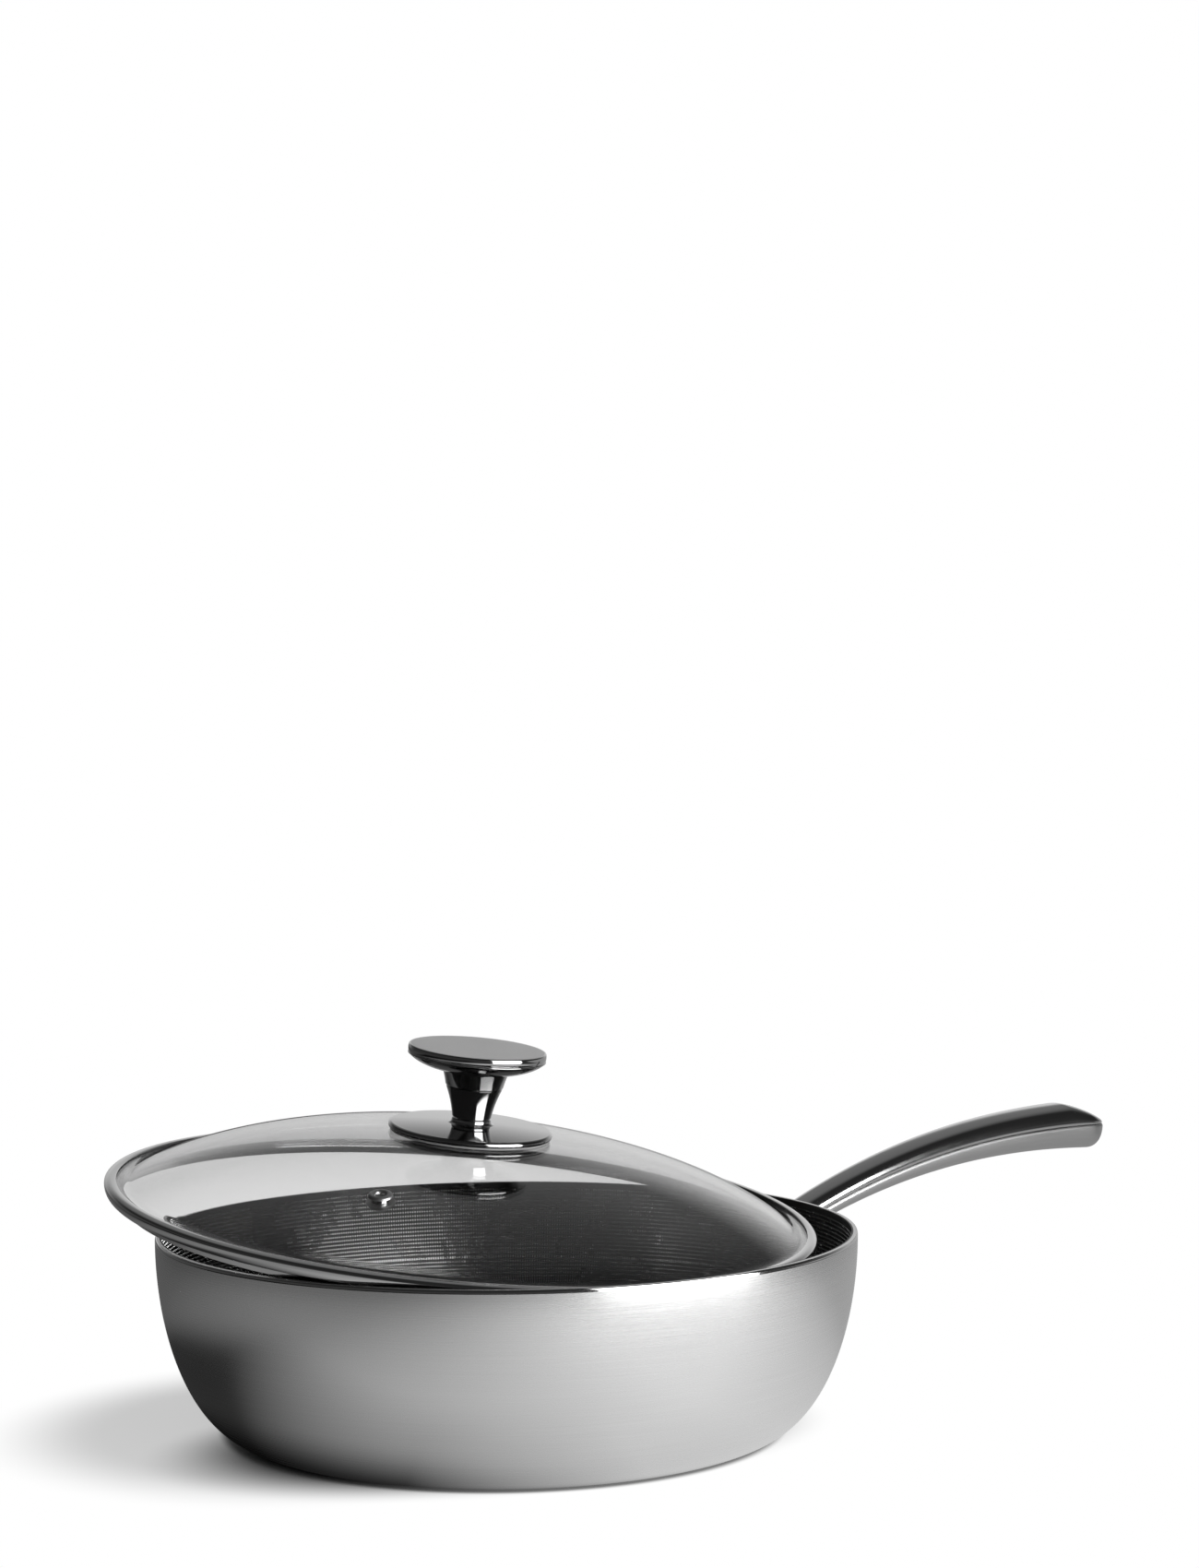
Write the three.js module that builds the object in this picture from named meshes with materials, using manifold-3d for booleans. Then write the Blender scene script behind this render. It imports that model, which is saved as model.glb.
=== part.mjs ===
import * as THREE from "three";
import { mergeVertices } from "three/addons/utils/BufferGeometryUtils.js";
import Module from "manifold-3d";

// Deep saute pan of three-layer clad steel, with a hollow handle and a domed glass lid that lies ajar
// on the rim. Millimetres, +Z up. The origin is the centre of the flat base, and the handle runs along +X.

// Pan
const PAN_RADIUS = 122; // outside, at the rim
const PAN_HEIGHT = 69;
const BASE_RADIUS = 89; // flat part of the base
const OUTER_SKIN = 0.6;
const CORE = 0.9;
const INNER_SKIN = 0.5;
const BOND_GAP = 0.05; // between two layers of the wall

// Handle
const HANDLE_LENGTH = 173; // from the rim's radius to the tip
const HANDLE_ROOT_DROP = 14.3; // seam below the rim, at the root
const HANDLE_TIP_RISE = 14.3; // seam above the rim, at the tip
const HANDLE_ROOT_SLOPE = 0.437;
const HANDLE_TIP_SLOPE = -0.044;
const HANDLE_ROOT_WIDTH = 14;
const HANDLE_TIP_WIDTH = 24;
const HANDLE_ROOT_CROWN = 5.1; // upper shell's height over the seam
const HANDLE_TIP_CROWN = 9.1;
const HANDLE_ROOT_KEEL = 4.4; // lower shell's depth under the seam
const HANDLE_TIP_KEEL = 10.5;
const HANDLE_SQUARENESS = 2.3; // exponent of the section's superellipse
const HANDLE_SHEET = 1.2;
const CROWN_TIP_LENGTH = 22; // length over which each part of the section rounds off at the tip
const CROWN_TIP_BULGE = 1.25; // 1 is a straight slope, 2 an ellipse
const KEEL_TIP_LENGTH = 7;
const PLAN_TIP_LENGTH = 13;
const SEAM_GAP = 0.3;
const SADDLE_SHEET = 1.5;
const SADDLE_MARGIN = 5; // saddle's edge beyond the handle's root
const TANG_LENGTH = 44;
const TANG_CLEARANCE = 1;

// Lid
const LID_TILT = 6.55; // degrees
const LID_DIRECTION = -67.8; // degrees from the handle to the low side
const LID_SHIFT = 18.6; // away from the low side
const LID_CLEARANCE = 0.7; // between the skirt and the pan's inner wall, with the lid closed
const BAND_SHEET = 0.5;
const SKIRT_DEPTH = 4.7; // below the lid's plane
const FLANGE_DEPTH = 1.8;
const LIP_RISE = 3; // above the lid's plane
const FLANGE_REACH = 6.3; // flange's outer edge beyond the skirt
const LIP_OVERLAP = 1.5; // lip's hold on the glass
const GLASS_THICKNESS = 3.2;
const GLASS_RISE = 27.1; // crown of the glass above the lid's plane
const DOME_RADIUS = 340; // curve of the crown
const CROWN_RADIUS = 80.6; // where the crown gives way to a tighter shoulder
const GLASS_FLAT = 2.5; // level edge of the glass
const GLASS_SWEEP = 8; // radius between shoulder and level edge
const SEAT_GAP = 0.3; // between pieces that lie on each other

// Vent
const VENT_OFFSET = 0.1; // vent's axis outside the crown's edge
const VENT_DIRECTION = -77.1; // degrees from the low side
const VENT_BORE_RADIUS = 1.7;
const VENT_TUBE_WALL = 0.7;
const VENT_FLANGE_RADIUS = 4.2;
const VENT_FLANGE_HEIGHT = 0.8;
const VENT_WASHER_RADIUS = 4.8;
const VENT_WASHER_HEIGHT = 0.6;

// Knob, with heights above what each piece sits on
const SCREW_RADIUS = 2.5;
const SCREW_HEAD_RADIUS = 4.6;
const SCREW_HEAD_HEIGHT = 2.6;
const SCREW_ENGAGEMENT = 5; // into the stem
const GASKET_RADIUS = 28.3;
const GASKET_HEIGHT = 0.6;
const KNOB_BASE_RADIUS = 29;
const KNOB_BASE_EDGE = 1.8; // thickness of the disc
const KNOB_NECK_RADIUS = 6.9;
const KNOB_NECK_HEIGHT = 3.6; // of the base, at the neck
const KNOB_NECK_FILLET = 1.4;
const STEM_HEIGHT = 10.8;
const STEM_TOP_RADIUS = 9.9;
const CAP_COLLAR_HEIGHT = 5.2;
const CAP_COLLAR_RADIUS = 11.6;
const CAP_RADIUS = 24.4;
const CAP_TAPER = 5; // rise of the cap's underside from collar to edge
const CAP_EDGE = 3.4;
const CAP_ROUND = 1;
const SPIGOT_RADIUS = 4.4;
const SPIGOT_LENGTH = 4.5;
const UNDER_GASKET_RADIUS = 11;
const UNDER_GASKET_HEIGHT = 1.2;
const WASHER_RADIUS = 10;
const WASHER_HEIGHT = 1;

// Fineness of the curved surfaces
const WALL_STEPS = 8;
const PAN_SEGMENTS = 48;
const KNOB_SEGMENTS = 28;
const SMALL_SEGMENTS = 16;
const DOME_STEPS = 6;
const ARC_STEPS = 3;
const HANDLE_STEPS = 12;
const TIP_STEPS = 6;
const SECTION_STEPS = 20;
const REST_STEPS = 2880;

// Sizes that follow from those above
const WALL = OUTER_SKIN + BOND_GAP + CORE + BOND_GAP + INNER_SKIN;
const MOUTH_RADIUS = PAN_RADIUS - WALL;
const SKIRT_RADIUS = MOUTH_RADIUS - LID_CLEARANCE;
const FLANGE_RADIUS = SKIRT_RADIUS + FLANGE_REACH;
const ROLL_RADIUS = (LIP_RISE + FLANGE_DEPTH) / 2;
const ROLL_CENTRE = FLANGE_RADIUS - ROLL_RADIUS;
const GLASS_RADIUS = ROLL_CENTRE;
const EDGE_TOP = LIP_RISE - BAND_SHEET - SEAT_GAP;
const SWEEP_RADIUS_AT = GLASS_RADIUS - GLASS_FLAT;
const VENT_RADIUS = CROWN_RADIUS + VENT_OFFSET;
const SCREW_HOLE_RADIUS = SCREW_RADIUS + SEAT_GAP;
const TILT = THREE.MathUtils.degToRad(LID_TILT);
const LOW_SIDE = THREE.MathUtils.degToRad(LID_DIRECTION);

const wasm = await Module();
wasm.setup();

// Solid of a closed geometry
function solidOf(geometry) {
  const bare = geometry.clone();
  bare.deleteAttribute("normal");
  bare.deleteAttribute("uv");
  const welded = mergeVertices(bare, 1e-4);
  const corners = Array.from(welded.index.array);
  const triVerts = [];
  for (let i = 0; i < corners.length; i += 3) {
    const [a, b, c] = corners.slice(i, i + 3);
    if (a !== b && b !== c && c !== a) {
      triVerts.push(a, b, c);
    }
  }
  return new wasm.Manifold(new wasm.Mesh({
    numProp: 3,
    vertProperties: new Float32Array(welded.attributes.position.array),
    triVerts: new Uint32Array(triVerts),
  }));
}

function geometryOf(solid) {
  const mesh = solid.getMesh();
  const geometry = new THREE.BufferGeometry();
  geometry.setAttribute("position", new THREE.BufferAttribute(mesh.vertProperties, 3));
  geometry.setIndex(new THREE.BufferAttribute(mesh.triVerts, 1));
  geometry.computeVertexNormals();
  return geometry;
}

// Body turned about +Z from a profile of [radius, height] points, outer side upwards
function turned(profile, segments) {
  const points = profile.map(([radius, height]) => new THREE.Vector2(radius, height));
  return new THREE.LatheGeometry(points, segments).rotateX(Math.PI / 2);
}

function ringProfile(profile) {
  return [...profile, profile[0]];
}

// Points of an arc, from one angle to the other in degrees
function arc(centre, radius, from, to, steps) {
  const points = [];
  for (let i = 0; i <= steps; i++) {
    const angle = THREE.MathUtils.degToRad(from + ((to - from) * i) / steps);
    points.push([centre[0] + radius * Math.cos(angle), centre[1] + radius * Math.sin(angle)]);
  }
  return points;
}

// Pan wall: a quarter ellipse from the flat base up to the rim. share is 0 at the base and 1 at the rim,
// and depth is measured inwards, square to the outside.
function wallPoint(share, depth) {
  const angle = (share * Math.PI) / 2;
  const swell = PAN_RADIUS - BASE_RADIUS;
  const normal = new THREE.Vector2(Math.sin(angle) / swell, -Math.cos(angle) / PAN_HEIGHT).normalize();
  const radius = BASE_RADIUS + swell * Math.sin(angle) - depth * normal.x;
  return [radius, PAN_HEIGHT * (1 - Math.cos(angle)) - depth * normal.y];
}

function wallLine(depth) {
  const points = [];
  for (let i = 0; i <= WALL_STEPS; i++) {
    points.push(wallPoint(i / WALL_STEPS, depth));
  }
  return points;
}

function panLayer(depth, thickness) {
  const outside = [[0, depth], ...wallLine(depth)];
  const inside = [[0, depth + thickness], ...wallLine(depth + thickness)];
  return turned([...outside, ...inside.reverse()], PAN_SEGMENTS);
}

// The space that the pan takes up, grown outwards by a gap
function panSpace(gap) {
  return solidOf(turned([[0, -gap], ...wallLine(-gap), [0, PAN_HEIGHT]], PAN_SEGMENTS));
}

// Handle: its seam line is a curve in the XZ plane, over the distance from the rim's radius.
const seamCurve = new THREE.CubicBezierCurve(
  new THREE.Vector2(0, -HANDLE_ROOT_DROP),
  new THREE.Vector2(HANDLE_LENGTH / 3, -HANDLE_ROOT_DROP + (HANDLE_ROOT_SLOPE * HANDLE_LENGTH) / 3),
  new THREE.Vector2((2 * HANDLE_LENGTH) / 3, HANDLE_TIP_RISE - (HANDLE_TIP_SLOPE * HANDLE_LENGTH) / 3),
  new THREE.Vector2(HANDLE_LENGTH, HANDLE_TIP_RISE),
);

// Point and direction of the seam line; before the root it runs straight on into the wall.
function seamAt(reach) {
  const share = Math.max(reach, 0) / HANDLE_LENGTH;
  const point = seamCurve.getPoint(Math.min(share, 1));
  const direction = seamCurve.getTangent(Math.min(share, 1));
  const before = Math.min(reach, 0);
  return {
    x: PAN_RADIUS + point.x + before,
    z: PAN_HEIGHT + point.y + before * HANDLE_ROOT_SLOPE,
    along: direction.normalize(),
  };
}

// How much of the section is left at a distance from the tip, for an end of the given length and bulge
function roundOff(fromTip, length, bulge = 2) {
  const into = THREE.MathUtils.clamp(1 - fromTip / length, 0, 1);
  return (1 - into ** bulge) ** (1 / bulge);
}

function handleSection(reach, inset) {
  const share = THREE.MathUtils.clamp(reach / HANDLE_LENGTH, 0, 1);
  const fromTip = HANDLE_LENGTH - inset - reach;
  const halfWidth = THREE.MathUtils.lerp(HANDLE_ROOT_WIDTH, HANDLE_TIP_WIDTH, share) / 2 - inset;
  const crown = THREE.MathUtils.lerp(HANDLE_ROOT_CROWN, HANDLE_TIP_CROWN, share) - inset;
  const keel = THREE.MathUtils.lerp(HANDLE_ROOT_KEEL, HANDLE_TIP_KEEL, share) - inset;
  return {
    halfWidth: halfWidth * roundOff(fromTip, PLAN_TIP_LENGTH),
    crown: crown * roundOff(fromTip, CROWN_TIP_LENGTH, CROWN_TIP_BULGE),
    keel: keel * roundOff(fromTip, KEEL_TIP_LENGTH),
  };
}

// Closed body through a row of superelliptic sections along the seam line
function loft(reaches, sectionAt, pointed) {
  const positions = [];
  const index = [];
  const bend = (value) => Math.sign(value) * Math.abs(value) ** (2 / HANDLE_SQUARENESS);
  for (const reach of reaches) {
    const seam = seamAt(reach);
    const section = sectionAt(reach);
    for (let i = 0; i < SECTION_STEPS; i++) {
      const angle = (2 * Math.PI * i) / SECTION_STEPS;
      const rise = bend(Math.sin(angle));
      const up = rise * (rise > 0 ? section.crown : section.keel);
      const side = bend(Math.cos(angle)) * section.halfWidth;
      positions.push(seam.x - up * seam.along.y, side, seam.z + up * seam.along.x);
    }
  }
  const first = seamAt(reaches[0]);
  const last = seamAt(pointed ?? reaches.at(-1));
  const start = positions.length / 3;
  positions.push(first.x, 0, first.z, last.x, 0, last.z);
  const lastRing = (reaches.length - 1) * SECTION_STEPS;
  for (let i = 0; i < SECTION_STEPS; i++) {
    const next = (i + 1) % SECTION_STEPS;
    index.push(start, next, i, start + 1, lastRing + i, lastRing + next);
    for (let ring = 0; ring < lastRing; ring += SECTION_STEPS) {
      const [a, b, c, d] = [ring + i, ring + next, ring + SECTION_STEPS + i, ring + SECTION_STEPS + next];
      index.push(a, b, c, b, d, c);
    }
  }
  const geometry = new THREE.BufferGeometry();
  geometry.setAttribute("position", new THREE.Float32BufferAttribute(positions, 3));
  geometry.setIndex(index);
  return solidOf(geometry);
}

// The handle's outside, or its hollow for an inset of one sheet
function handleBody(inset) {
  const sink = -(WALL + SADDLE_SHEET + HANDLE_ROOT_KEEL);
  const tip = HANDLE_LENGTH - inset;
  const bend = tip - CROWN_TIP_LENGTH;
  const reaches = [];
  for (let i = 0; i < HANDLE_STEPS; i++) {
    reaches.push(sink + ((bend - sink) * i) / HANDLE_STEPS);
  }
  for (let i = 0; i < TIP_STEPS; i++) {
    reaches.push(bend + CROWN_TIP_LENGTH * Math.sin((Math.PI / 2) * (i / TIP_STEPS)));
  }
  return loft(reaches, (reach) => handleSection(reach, inset), tip);
}

// All that lies above the seam line for a side of 1, or below it for -1
function besideSeam(side) {
  const far = side * (PAN_HEIGHT + HANDLE_LENGTH);
  const outline = new THREE.Shape();
  const shift = (side * SEAM_GAP) / 2;
  outline.moveTo(0, far);
  outline.lineTo(0, seamAt(-PAN_RADIUS).z + shift);
  for (let i = 0; i <= HANDLE_STEPS; i++) {
    const seam = seamAt((HANDLE_LENGTH * i) / HANDLE_STEPS);
    outline.lineTo(seam.x, seam.z + shift);
  }
  const beyond = seamAt(HANDLE_LENGTH);
  outline.lineTo(beyond.x + HANDLE_TIP_WIDTH, beyond.z + shift);
  outline.lineTo(beyond.x + HANDLE_TIP_WIDTH, far);
  const depth = HANDLE_TIP_WIDTH + HANDLE_ROOT_WIDTH;
  const slab = new THREE.ExtrudeGeometry(outline, { depth, bevelEnabled: false });
  return solidOf(slab.translate(0, 0, -depth / 2).rotateX(Math.PI / 2));
}

function handleShells() {
  const clear = panSpace(SEAT_GAP + SADDLE_SHEET + SEAT_GAP);
  const hollow = handleBody(0).subtract(handleBody(HANDLE_SHEET)).subtract(clear);
  return [1, -1].map((side) => geometryOf(hollow.intersect(besideSeam(side))));
}

// Saddle that follows the wall, with the tang that goes into the handle
function handleBracket() {
  const root = seamAt(0);
  const outline = new THREE.Shape();
  const rise = HANDLE_ROOT_CROWN + SADDLE_MARGIN;
  const drop = HANDLE_ROOT_KEEL + SADDLE_MARGIN;
  const reachSideways = HANDLE_ROOT_WIDTH / 2 + SADDLE_MARGIN;
  outline.absellipse(0, (rise - drop) / 2, reachSideways, (rise + drop) / 2, 0, 2 * Math.PI);
  const depth = PAN_RADIUS;
  const options = { depth, bevelEnabled: false, curveSegments: SMALL_SEGMENTS };
  const plug = new THREE.ExtrudeGeometry(outline, options);
  plug.rotateX(Math.PI / 2).rotateZ(Math.PI / 2).translate(PAN_RADIUS / 2, 0, root.z);
  const saddle = solidOf(plug).intersect(panSpace(SEAT_GAP + SADDLE_SHEET));
  const slack = HANDLE_SHEET + TANG_CLEARANCE;
  const tang = loft([-PAN_RADIUS / 4, 0, TANG_LENGTH / 2, TANG_LENGTH], () => ({
    halfWidth: HANDLE_ROOT_WIDTH / 2 - slack,
    crown: HANDLE_ROOT_CROWN - slack,
    keel: HANDLE_ROOT_KEEL - slack,
  }));
  return geometryOf(saddle.add(tang).subtract(panSpace(SEAT_GAP)));
}

// Lid, in its own frame: its plane is z = 0, its axis is +Z, and +X points to the low side.
// The dome's crown is a sphere. A tighter shoulder lies round it and sweeps out to a level edge.
const DOME_CENTRE = GLASS_RISE - DOME_RADIUS;

// Height of the dome's sphere, or of a surface a given offset outside it, at a radius
function domeHeight(radius, offset = 0) {
  return DOME_CENTRE + Math.sqrt((DOME_RADIUS + offset) ** 2 - radius ** 2);
}

// Arc on the dome, a given offset outside it, between two radii
function domeLine(from, to, offset, steps) {
  const points = [];
  for (let i = 0; i <= steps; i++) {
    const radius = from + ((to - from) * i) / steps;
    points.push([radius, domeHeight(radius, offset)]);
  }
  return points;
}

// One face of the glass from its hole to its edge: the shoulder's arc is tangent to crown and sweep.
function glassFace(depth) {
  const start = new THREE.Vector2(CROWN_RADIUS, domeHeight(CROWN_RADIUS));
  const normal = new THREE.Vector2(CROWN_RADIUS, start.y - DOME_CENTRE).normalize();
  const sweepCentre = new THREE.Vector2(SWEEP_RADIUS_AT, EDGE_TOP + GLASS_SWEEP);
  const across = sweepCentre.clone().sub(start);
  const radius = (across.lengthSq() - GLASS_SWEEP ** 2) / (2 * (GLASS_SWEEP - across.dot(normal)));
  const centre = start.clone().addScaledVector(normal, -radius);
  const from = THREE.MathUtils.radToDeg(normal.angle());
  const to = THREE.MathUtils.radToDeg(sweepCentre.clone().sub(centre).angle());
  const crown = domeLine(SCREW_HOLE_RADIUS, CROWN_RADIUS - depth * normal.x, -depth, DOME_STEPS);
  const shoulder = arc(centre.toArray(), radius - depth, from, to, DOME_STEPS);
  const sweep = arc(sweepCentre.toArray(), GLASS_SWEEP + depth, to + 180, 270, ARC_STEPS);
  return [...crown, ...shoulder.slice(1), ...sweep.slice(1), [GLASS_RADIUS, EDGE_TOP - depth]];
}

function ventPlace(object) {
  const direction = THREE.MathUtils.degToRad(VENT_DIRECTION);
  const lean = Math.asin(VENT_RADIUS / DOME_RADIUS);
  const height = domeHeight(VENT_RADIUS);
  object.position.set(VENT_RADIUS * Math.cos(direction), VENT_RADIUS * Math.sin(direction), height);
  object.rotation.set(0, lean, direction, "ZYX");
  object.updateMatrix();
  return object;
}

function lidGlass() {
  const faces = [...glassFace(GLASS_THICKNESS), ...glassFace(0).reverse()];
  const blank = turned(ringProfile(faces), PAN_SEGMENTS);
  const radius = VENT_BORE_RADIUS + VENT_TUBE_WALL + SEAT_GAP;
  const drill = new THREE.CylinderGeometry(radius, radius, 4 * GLASS_THICKNESS, SMALL_SEGMENTS);
  drill.rotateX(Math.PI / 2).applyMatrix4(ventPlace(new THREE.Object3D()).matrix);
  return geometryOf(solidOf(blank).subtract(solidOf(drill)));
}

// Band of folded sheet: hem, skirt, flange, roll and lip, then back along the inside
function lidBand() {
  const rollAt = [ROLL_CENTRE, LIP_RISE - ROLL_RADIUS];
  const insideSkirt = SKIRT_RADIUS - BAND_SHEET;
  return turned(ringProfile([
    [insideSkirt, -SKIRT_DEPTH],
    [SKIRT_RADIUS, -SKIRT_DEPTH],
    [SKIRT_RADIUS, -FLANGE_DEPTH],
    ...arc(rollAt, ROLL_RADIUS, -90, 90, 2 * ARC_STEPS),
    [ROLL_CENTRE - LIP_OVERLAP, LIP_RISE],
    [ROLL_CENTRE - LIP_OVERLAP, LIP_RISE - BAND_SHEET],
    ...arc(rollAt, ROLL_RADIUS - BAND_SHEET, 90, -90, ARC_STEPS),
    [insideSkirt, BAND_SHEET - FLANGE_DEPTH],
  ]), PAN_SEGMENTS);
}

// Eyelet, in the vent's frame: z = 0 is the top of the glass
function ventEyelet() {
  const tube = VENT_BORE_RADIUS + VENT_TUBE_WALL;
  const under = -(GLASS_THICKNESS + SEAT_GAP + VENT_WASHER_HEIGHT + SEAT_GAP);
  const flare = VENT_WASHER_RADIUS - VENT_TUBE_WALL;
  return turned(ringProfile([
    [VENT_BORE_RADIUS, under - VENT_FLANGE_HEIGHT],
    [flare, under - VENT_FLANGE_HEIGHT / 2],
    [flare, under],
    [tube, under],
    [tube, SEAT_GAP],
    [VENT_FLANGE_RADIUS, SEAT_GAP],
    [VENT_FLANGE_RADIUS, SEAT_GAP + VENT_FLANGE_HEIGHT / 2],
    [tube, SEAT_GAP + VENT_FLANGE_HEIGHT],
    [VENT_BORE_RADIUS, SEAT_GAP + VENT_FLANGE_HEIGHT / 2],
  ]), SMALL_SEGMENTS);
}

function ventWasher() {
  const top = -(GLASS_THICKNESS + SEAT_GAP);
  const hole = VENT_BORE_RADIUS + VENT_TUBE_WALL + SEAT_GAP;
  return turned(ringProfile([
    [hole, top - VENT_WASHER_HEIGHT],
    [VENT_WASHER_RADIUS, top - VENT_WASHER_HEIGHT],
    [VENT_WASHER_RADIUS, top],
    [hole, top],
  ]), SMALL_SEGMENTS);
}

// Ring between two surfaces that follow the dome
function domedRing(inner, outer, from, to) {
  const lower = domeLine(inner, outer, from, ARC_STEPS);
  const upper = domeLine(inner, outer, to, ARC_STEPS);
  return turned(ringProfile([...lower, ...upper.reverse()]), KNOB_SEGMENTS);
}

const GASKET_TOP = SEAT_GAP + GASKET_HEIGHT;
const KNOB_BASE_UNDER = GASKET_TOP + SEAT_GAP;
const NECK_TOP = GLASS_RISE + KNOB_BASE_UNDER + KNOB_NECK_HEIGHT;
const STEM_FOOT = NECK_TOP + SEAT_GAP;
const STEM_TOP = STEM_FOOT + STEM_HEIGHT;
const COLLAR_FOOT = STEM_TOP + SEAT_GAP;

// Disc that follows the dome, with a round edge, and the neck that rises from it
function knobBase() {
  const edge = KNOB_BASE_EDGE / 2;
  const edgeFrom = KNOB_BASE_RADIUS - edge;
  const edgeCentre = [edgeFrom, domeHeight(edgeFrom, KNOB_BASE_UNDER + edge)];
  const discTop = KNOB_BASE_UNDER + KNOB_BASE_EDGE;
  const filletFrom = KNOB_NECK_RADIUS + KNOB_NECK_FILLET;
  const filletCentre = [filletFrom, domeHeight(filletFrom, discTop) + KNOB_NECK_FILLET];
  return turned(ringProfile([
    ...domeLine(SCREW_HOLE_RADIUS, edgeFrom, KNOB_BASE_UNDER, ARC_STEPS),
    ...arc(edgeCentre, edge, -60, 60, ARC_STEPS),
    ...domeLine(edgeFrom, filletFrom, discTop, ARC_STEPS),
    ...arc(filletCentre, KNOB_NECK_FILLET, 270, 180, ARC_STEPS).slice(1),
    [KNOB_NECK_RADIUS, NECK_TOP],
    [SCREW_HOLE_RADIUS, NECK_TOP],
  ]), KNOB_SEGMENTS);
}

// Waisted post with the screw's hole below and the cap's socket above
function knobStem() {
  const waist = new THREE.QuadraticBezierCurve(
    new THREE.Vector2(KNOB_NECK_RADIUS, STEM_FOOT),
    new THREE.Vector2(KNOB_NECK_RADIUS, STEM_FOOT + STEM_HEIGHT / 2),
    new THREE.Vector2(STEM_TOP_RADIUS, STEM_TOP),
  );
  const holeTop = STEM_FOOT + SCREW_ENGAGEMENT + SEAT_GAP;
  const socket = SPIGOT_RADIUS + SEAT_GAP;
  const socketFloor = COLLAR_FOOT - SPIGOT_LENGTH - SEAT_GAP;
  return turned([
    [0, holeTop],
    [SCREW_HOLE_RADIUS, holeTop],
    [SCREW_HOLE_RADIUS, STEM_FOOT],
    ...waist.getPoints(2 * ARC_STEPS).map((point) => [point.x, point.y]),
    [socket, STEM_TOP],
    [socket, socketFloor],
    [0, socketFloor],
  ], KNOB_SEGMENTS);
}

// Cap with its collar, and the spigot that goes into the stem
function knobCap() {
  const collarTop = COLLAR_FOOT + CAP_COLLAR_HEIGHT;
  const edgeFoot = collarTop + CAP_TAPER;
  const top = edgeFoot + CAP_EDGE;
  const taper = new THREE.QuadraticBezierCurve(
    new THREE.Vector2(CAP_COLLAR_RADIUS, collarTop),
    new THREE.Vector2(CAP_RADIUS - CAP_EDGE, collarTop + CAP_TAPER / 3),
    new THREE.Vector2(CAP_RADIUS, edgeFoot),
  );
  return turned([
    [0, COLLAR_FOOT - SPIGOT_LENGTH],
    [SPIGOT_RADIUS, COLLAR_FOOT - SPIGOT_LENGTH],
    [SPIGOT_RADIUS, COLLAR_FOOT],
    [STEM_TOP_RADIUS + SEAT_GAP, COLLAR_FOOT],
    ...taper.getPoints(2 * ARC_STEPS).map((point) => [point.x, point.y]),
    ...arc([CAP_RADIUS - CAP_ROUND, top - CAP_ROUND], CAP_ROUND, 0, 90, ARC_STEPS),
    [0, top],
  ], KNOB_SEGMENTS);
}

const UNDER_GASKET_TOP = -(GLASS_THICKNESS + SEAT_GAP);
const WASHER_TOP = UNDER_GASKET_TOP - UNDER_GASKET_HEIGHT - SEAT_GAP;

function knobScrew() {
  const headTop = domeHeight(SCREW_HEAD_RADIUS, WASHER_TOP - WASHER_HEIGHT) - SEAT_GAP;
  return turned([
    [0, headTop - SCREW_HEAD_HEIGHT],
    [SCREW_HEAD_RADIUS, headTop - SCREW_HEAD_HEIGHT],
    [SCREW_HEAD_RADIUS, headTop],
    [SCREW_RADIUS, headTop],
    [SCREW_RADIUS, STEM_FOOT + SCREW_ENGAGEMENT],
    [0, STEM_FOOT + SCREW_ENGAGEMENT],
  ], SMALL_SEGMENTS);
}

// Lowest height over the rim at which the tilted lid's hem and flange clear the rim all round
function lidRestHeight() {
  let height = 0;
  for (const [radius, depth] of [[SKIRT_RADIUS, SKIRT_DEPTH], [ROLL_CENTRE, FLANGE_DEPTH]]) {
    for (let i = 0; i < REST_STEPS; i++) {
      const angle = (2 * Math.PI * i) / REST_STEPS;
      const point = new THREE.Vector3(radius * Math.cos(angle), radius * Math.sin(angle), -depth);
      point.applyAxisAngle(new THREE.Vector3(0, 1, 0), TILT);
      const fromAxis = Math.hypot(point.x - LID_SHIFT, point.y);
      if (fromAxis > MOUTH_RADIUS - SEAT_GAP && fromAxis < PAN_RADIUS + SEAT_GAP) {
        height = Math.max(height, SEAT_GAP - point.z);
      }
    }
  }
  return height;
}

function finish(color, roughness, metalness, more = {}) {
  return () => new THREE.MeshStandardMaterial({ color, roughness, metalness, ...more });
}

const satinSteel = finish(0xb4b6b8, 0.3, 1);
const polishedSteel = finish(0x9a9c9f, 0.12, 1);
const aluminium = finish(0xc9cacb, 0.4, 1);
const dottedCoating = finish(0x1b1b1c, 0.45, 0.2);
const clearGlass = finish(0xdfe3e2, 0.05, 0, { transparent: true, opacity: 0.3 });
const greySilicone = finish(0x8a8b8c, 0.7, 0);

function piece(name, geometry, material) {
  const mesh = new THREE.Mesh(geometry, material());
  mesh.name = name;
  return mesh;
}

const coreDepth = OUTER_SKIN + BOND_GAP;
const innerDepth = coreDepth + CORE + BOND_GAP;
const [upperShell, lowerShell] = handleShells();

const pan = new THREE.Group();
pan.add(
  piece("pan_outer_skin", panLayer(0, OUTER_SKIN), satinSteel),
  piece("pan_core", panLayer(coreDepth, CORE), aluminium),
  piece("pan_inner_skin", panLayer(innerDepth, INNER_SKIN), dottedCoating),
  piece("handle_bracket", handleBracket(), satinSteel),
  piece("handle_upper_shell", upperShell, polishedSteel),
  piece("handle_lower_shell", lowerShell, satinSteel),
);

const vent = ventPlace(new THREE.Group());
vent.add(
  piece("vent_eyelet", ventEyelet(), polishedSteel),
  piece("vent_washer", ventWasher(), satinSteel),
);

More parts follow.
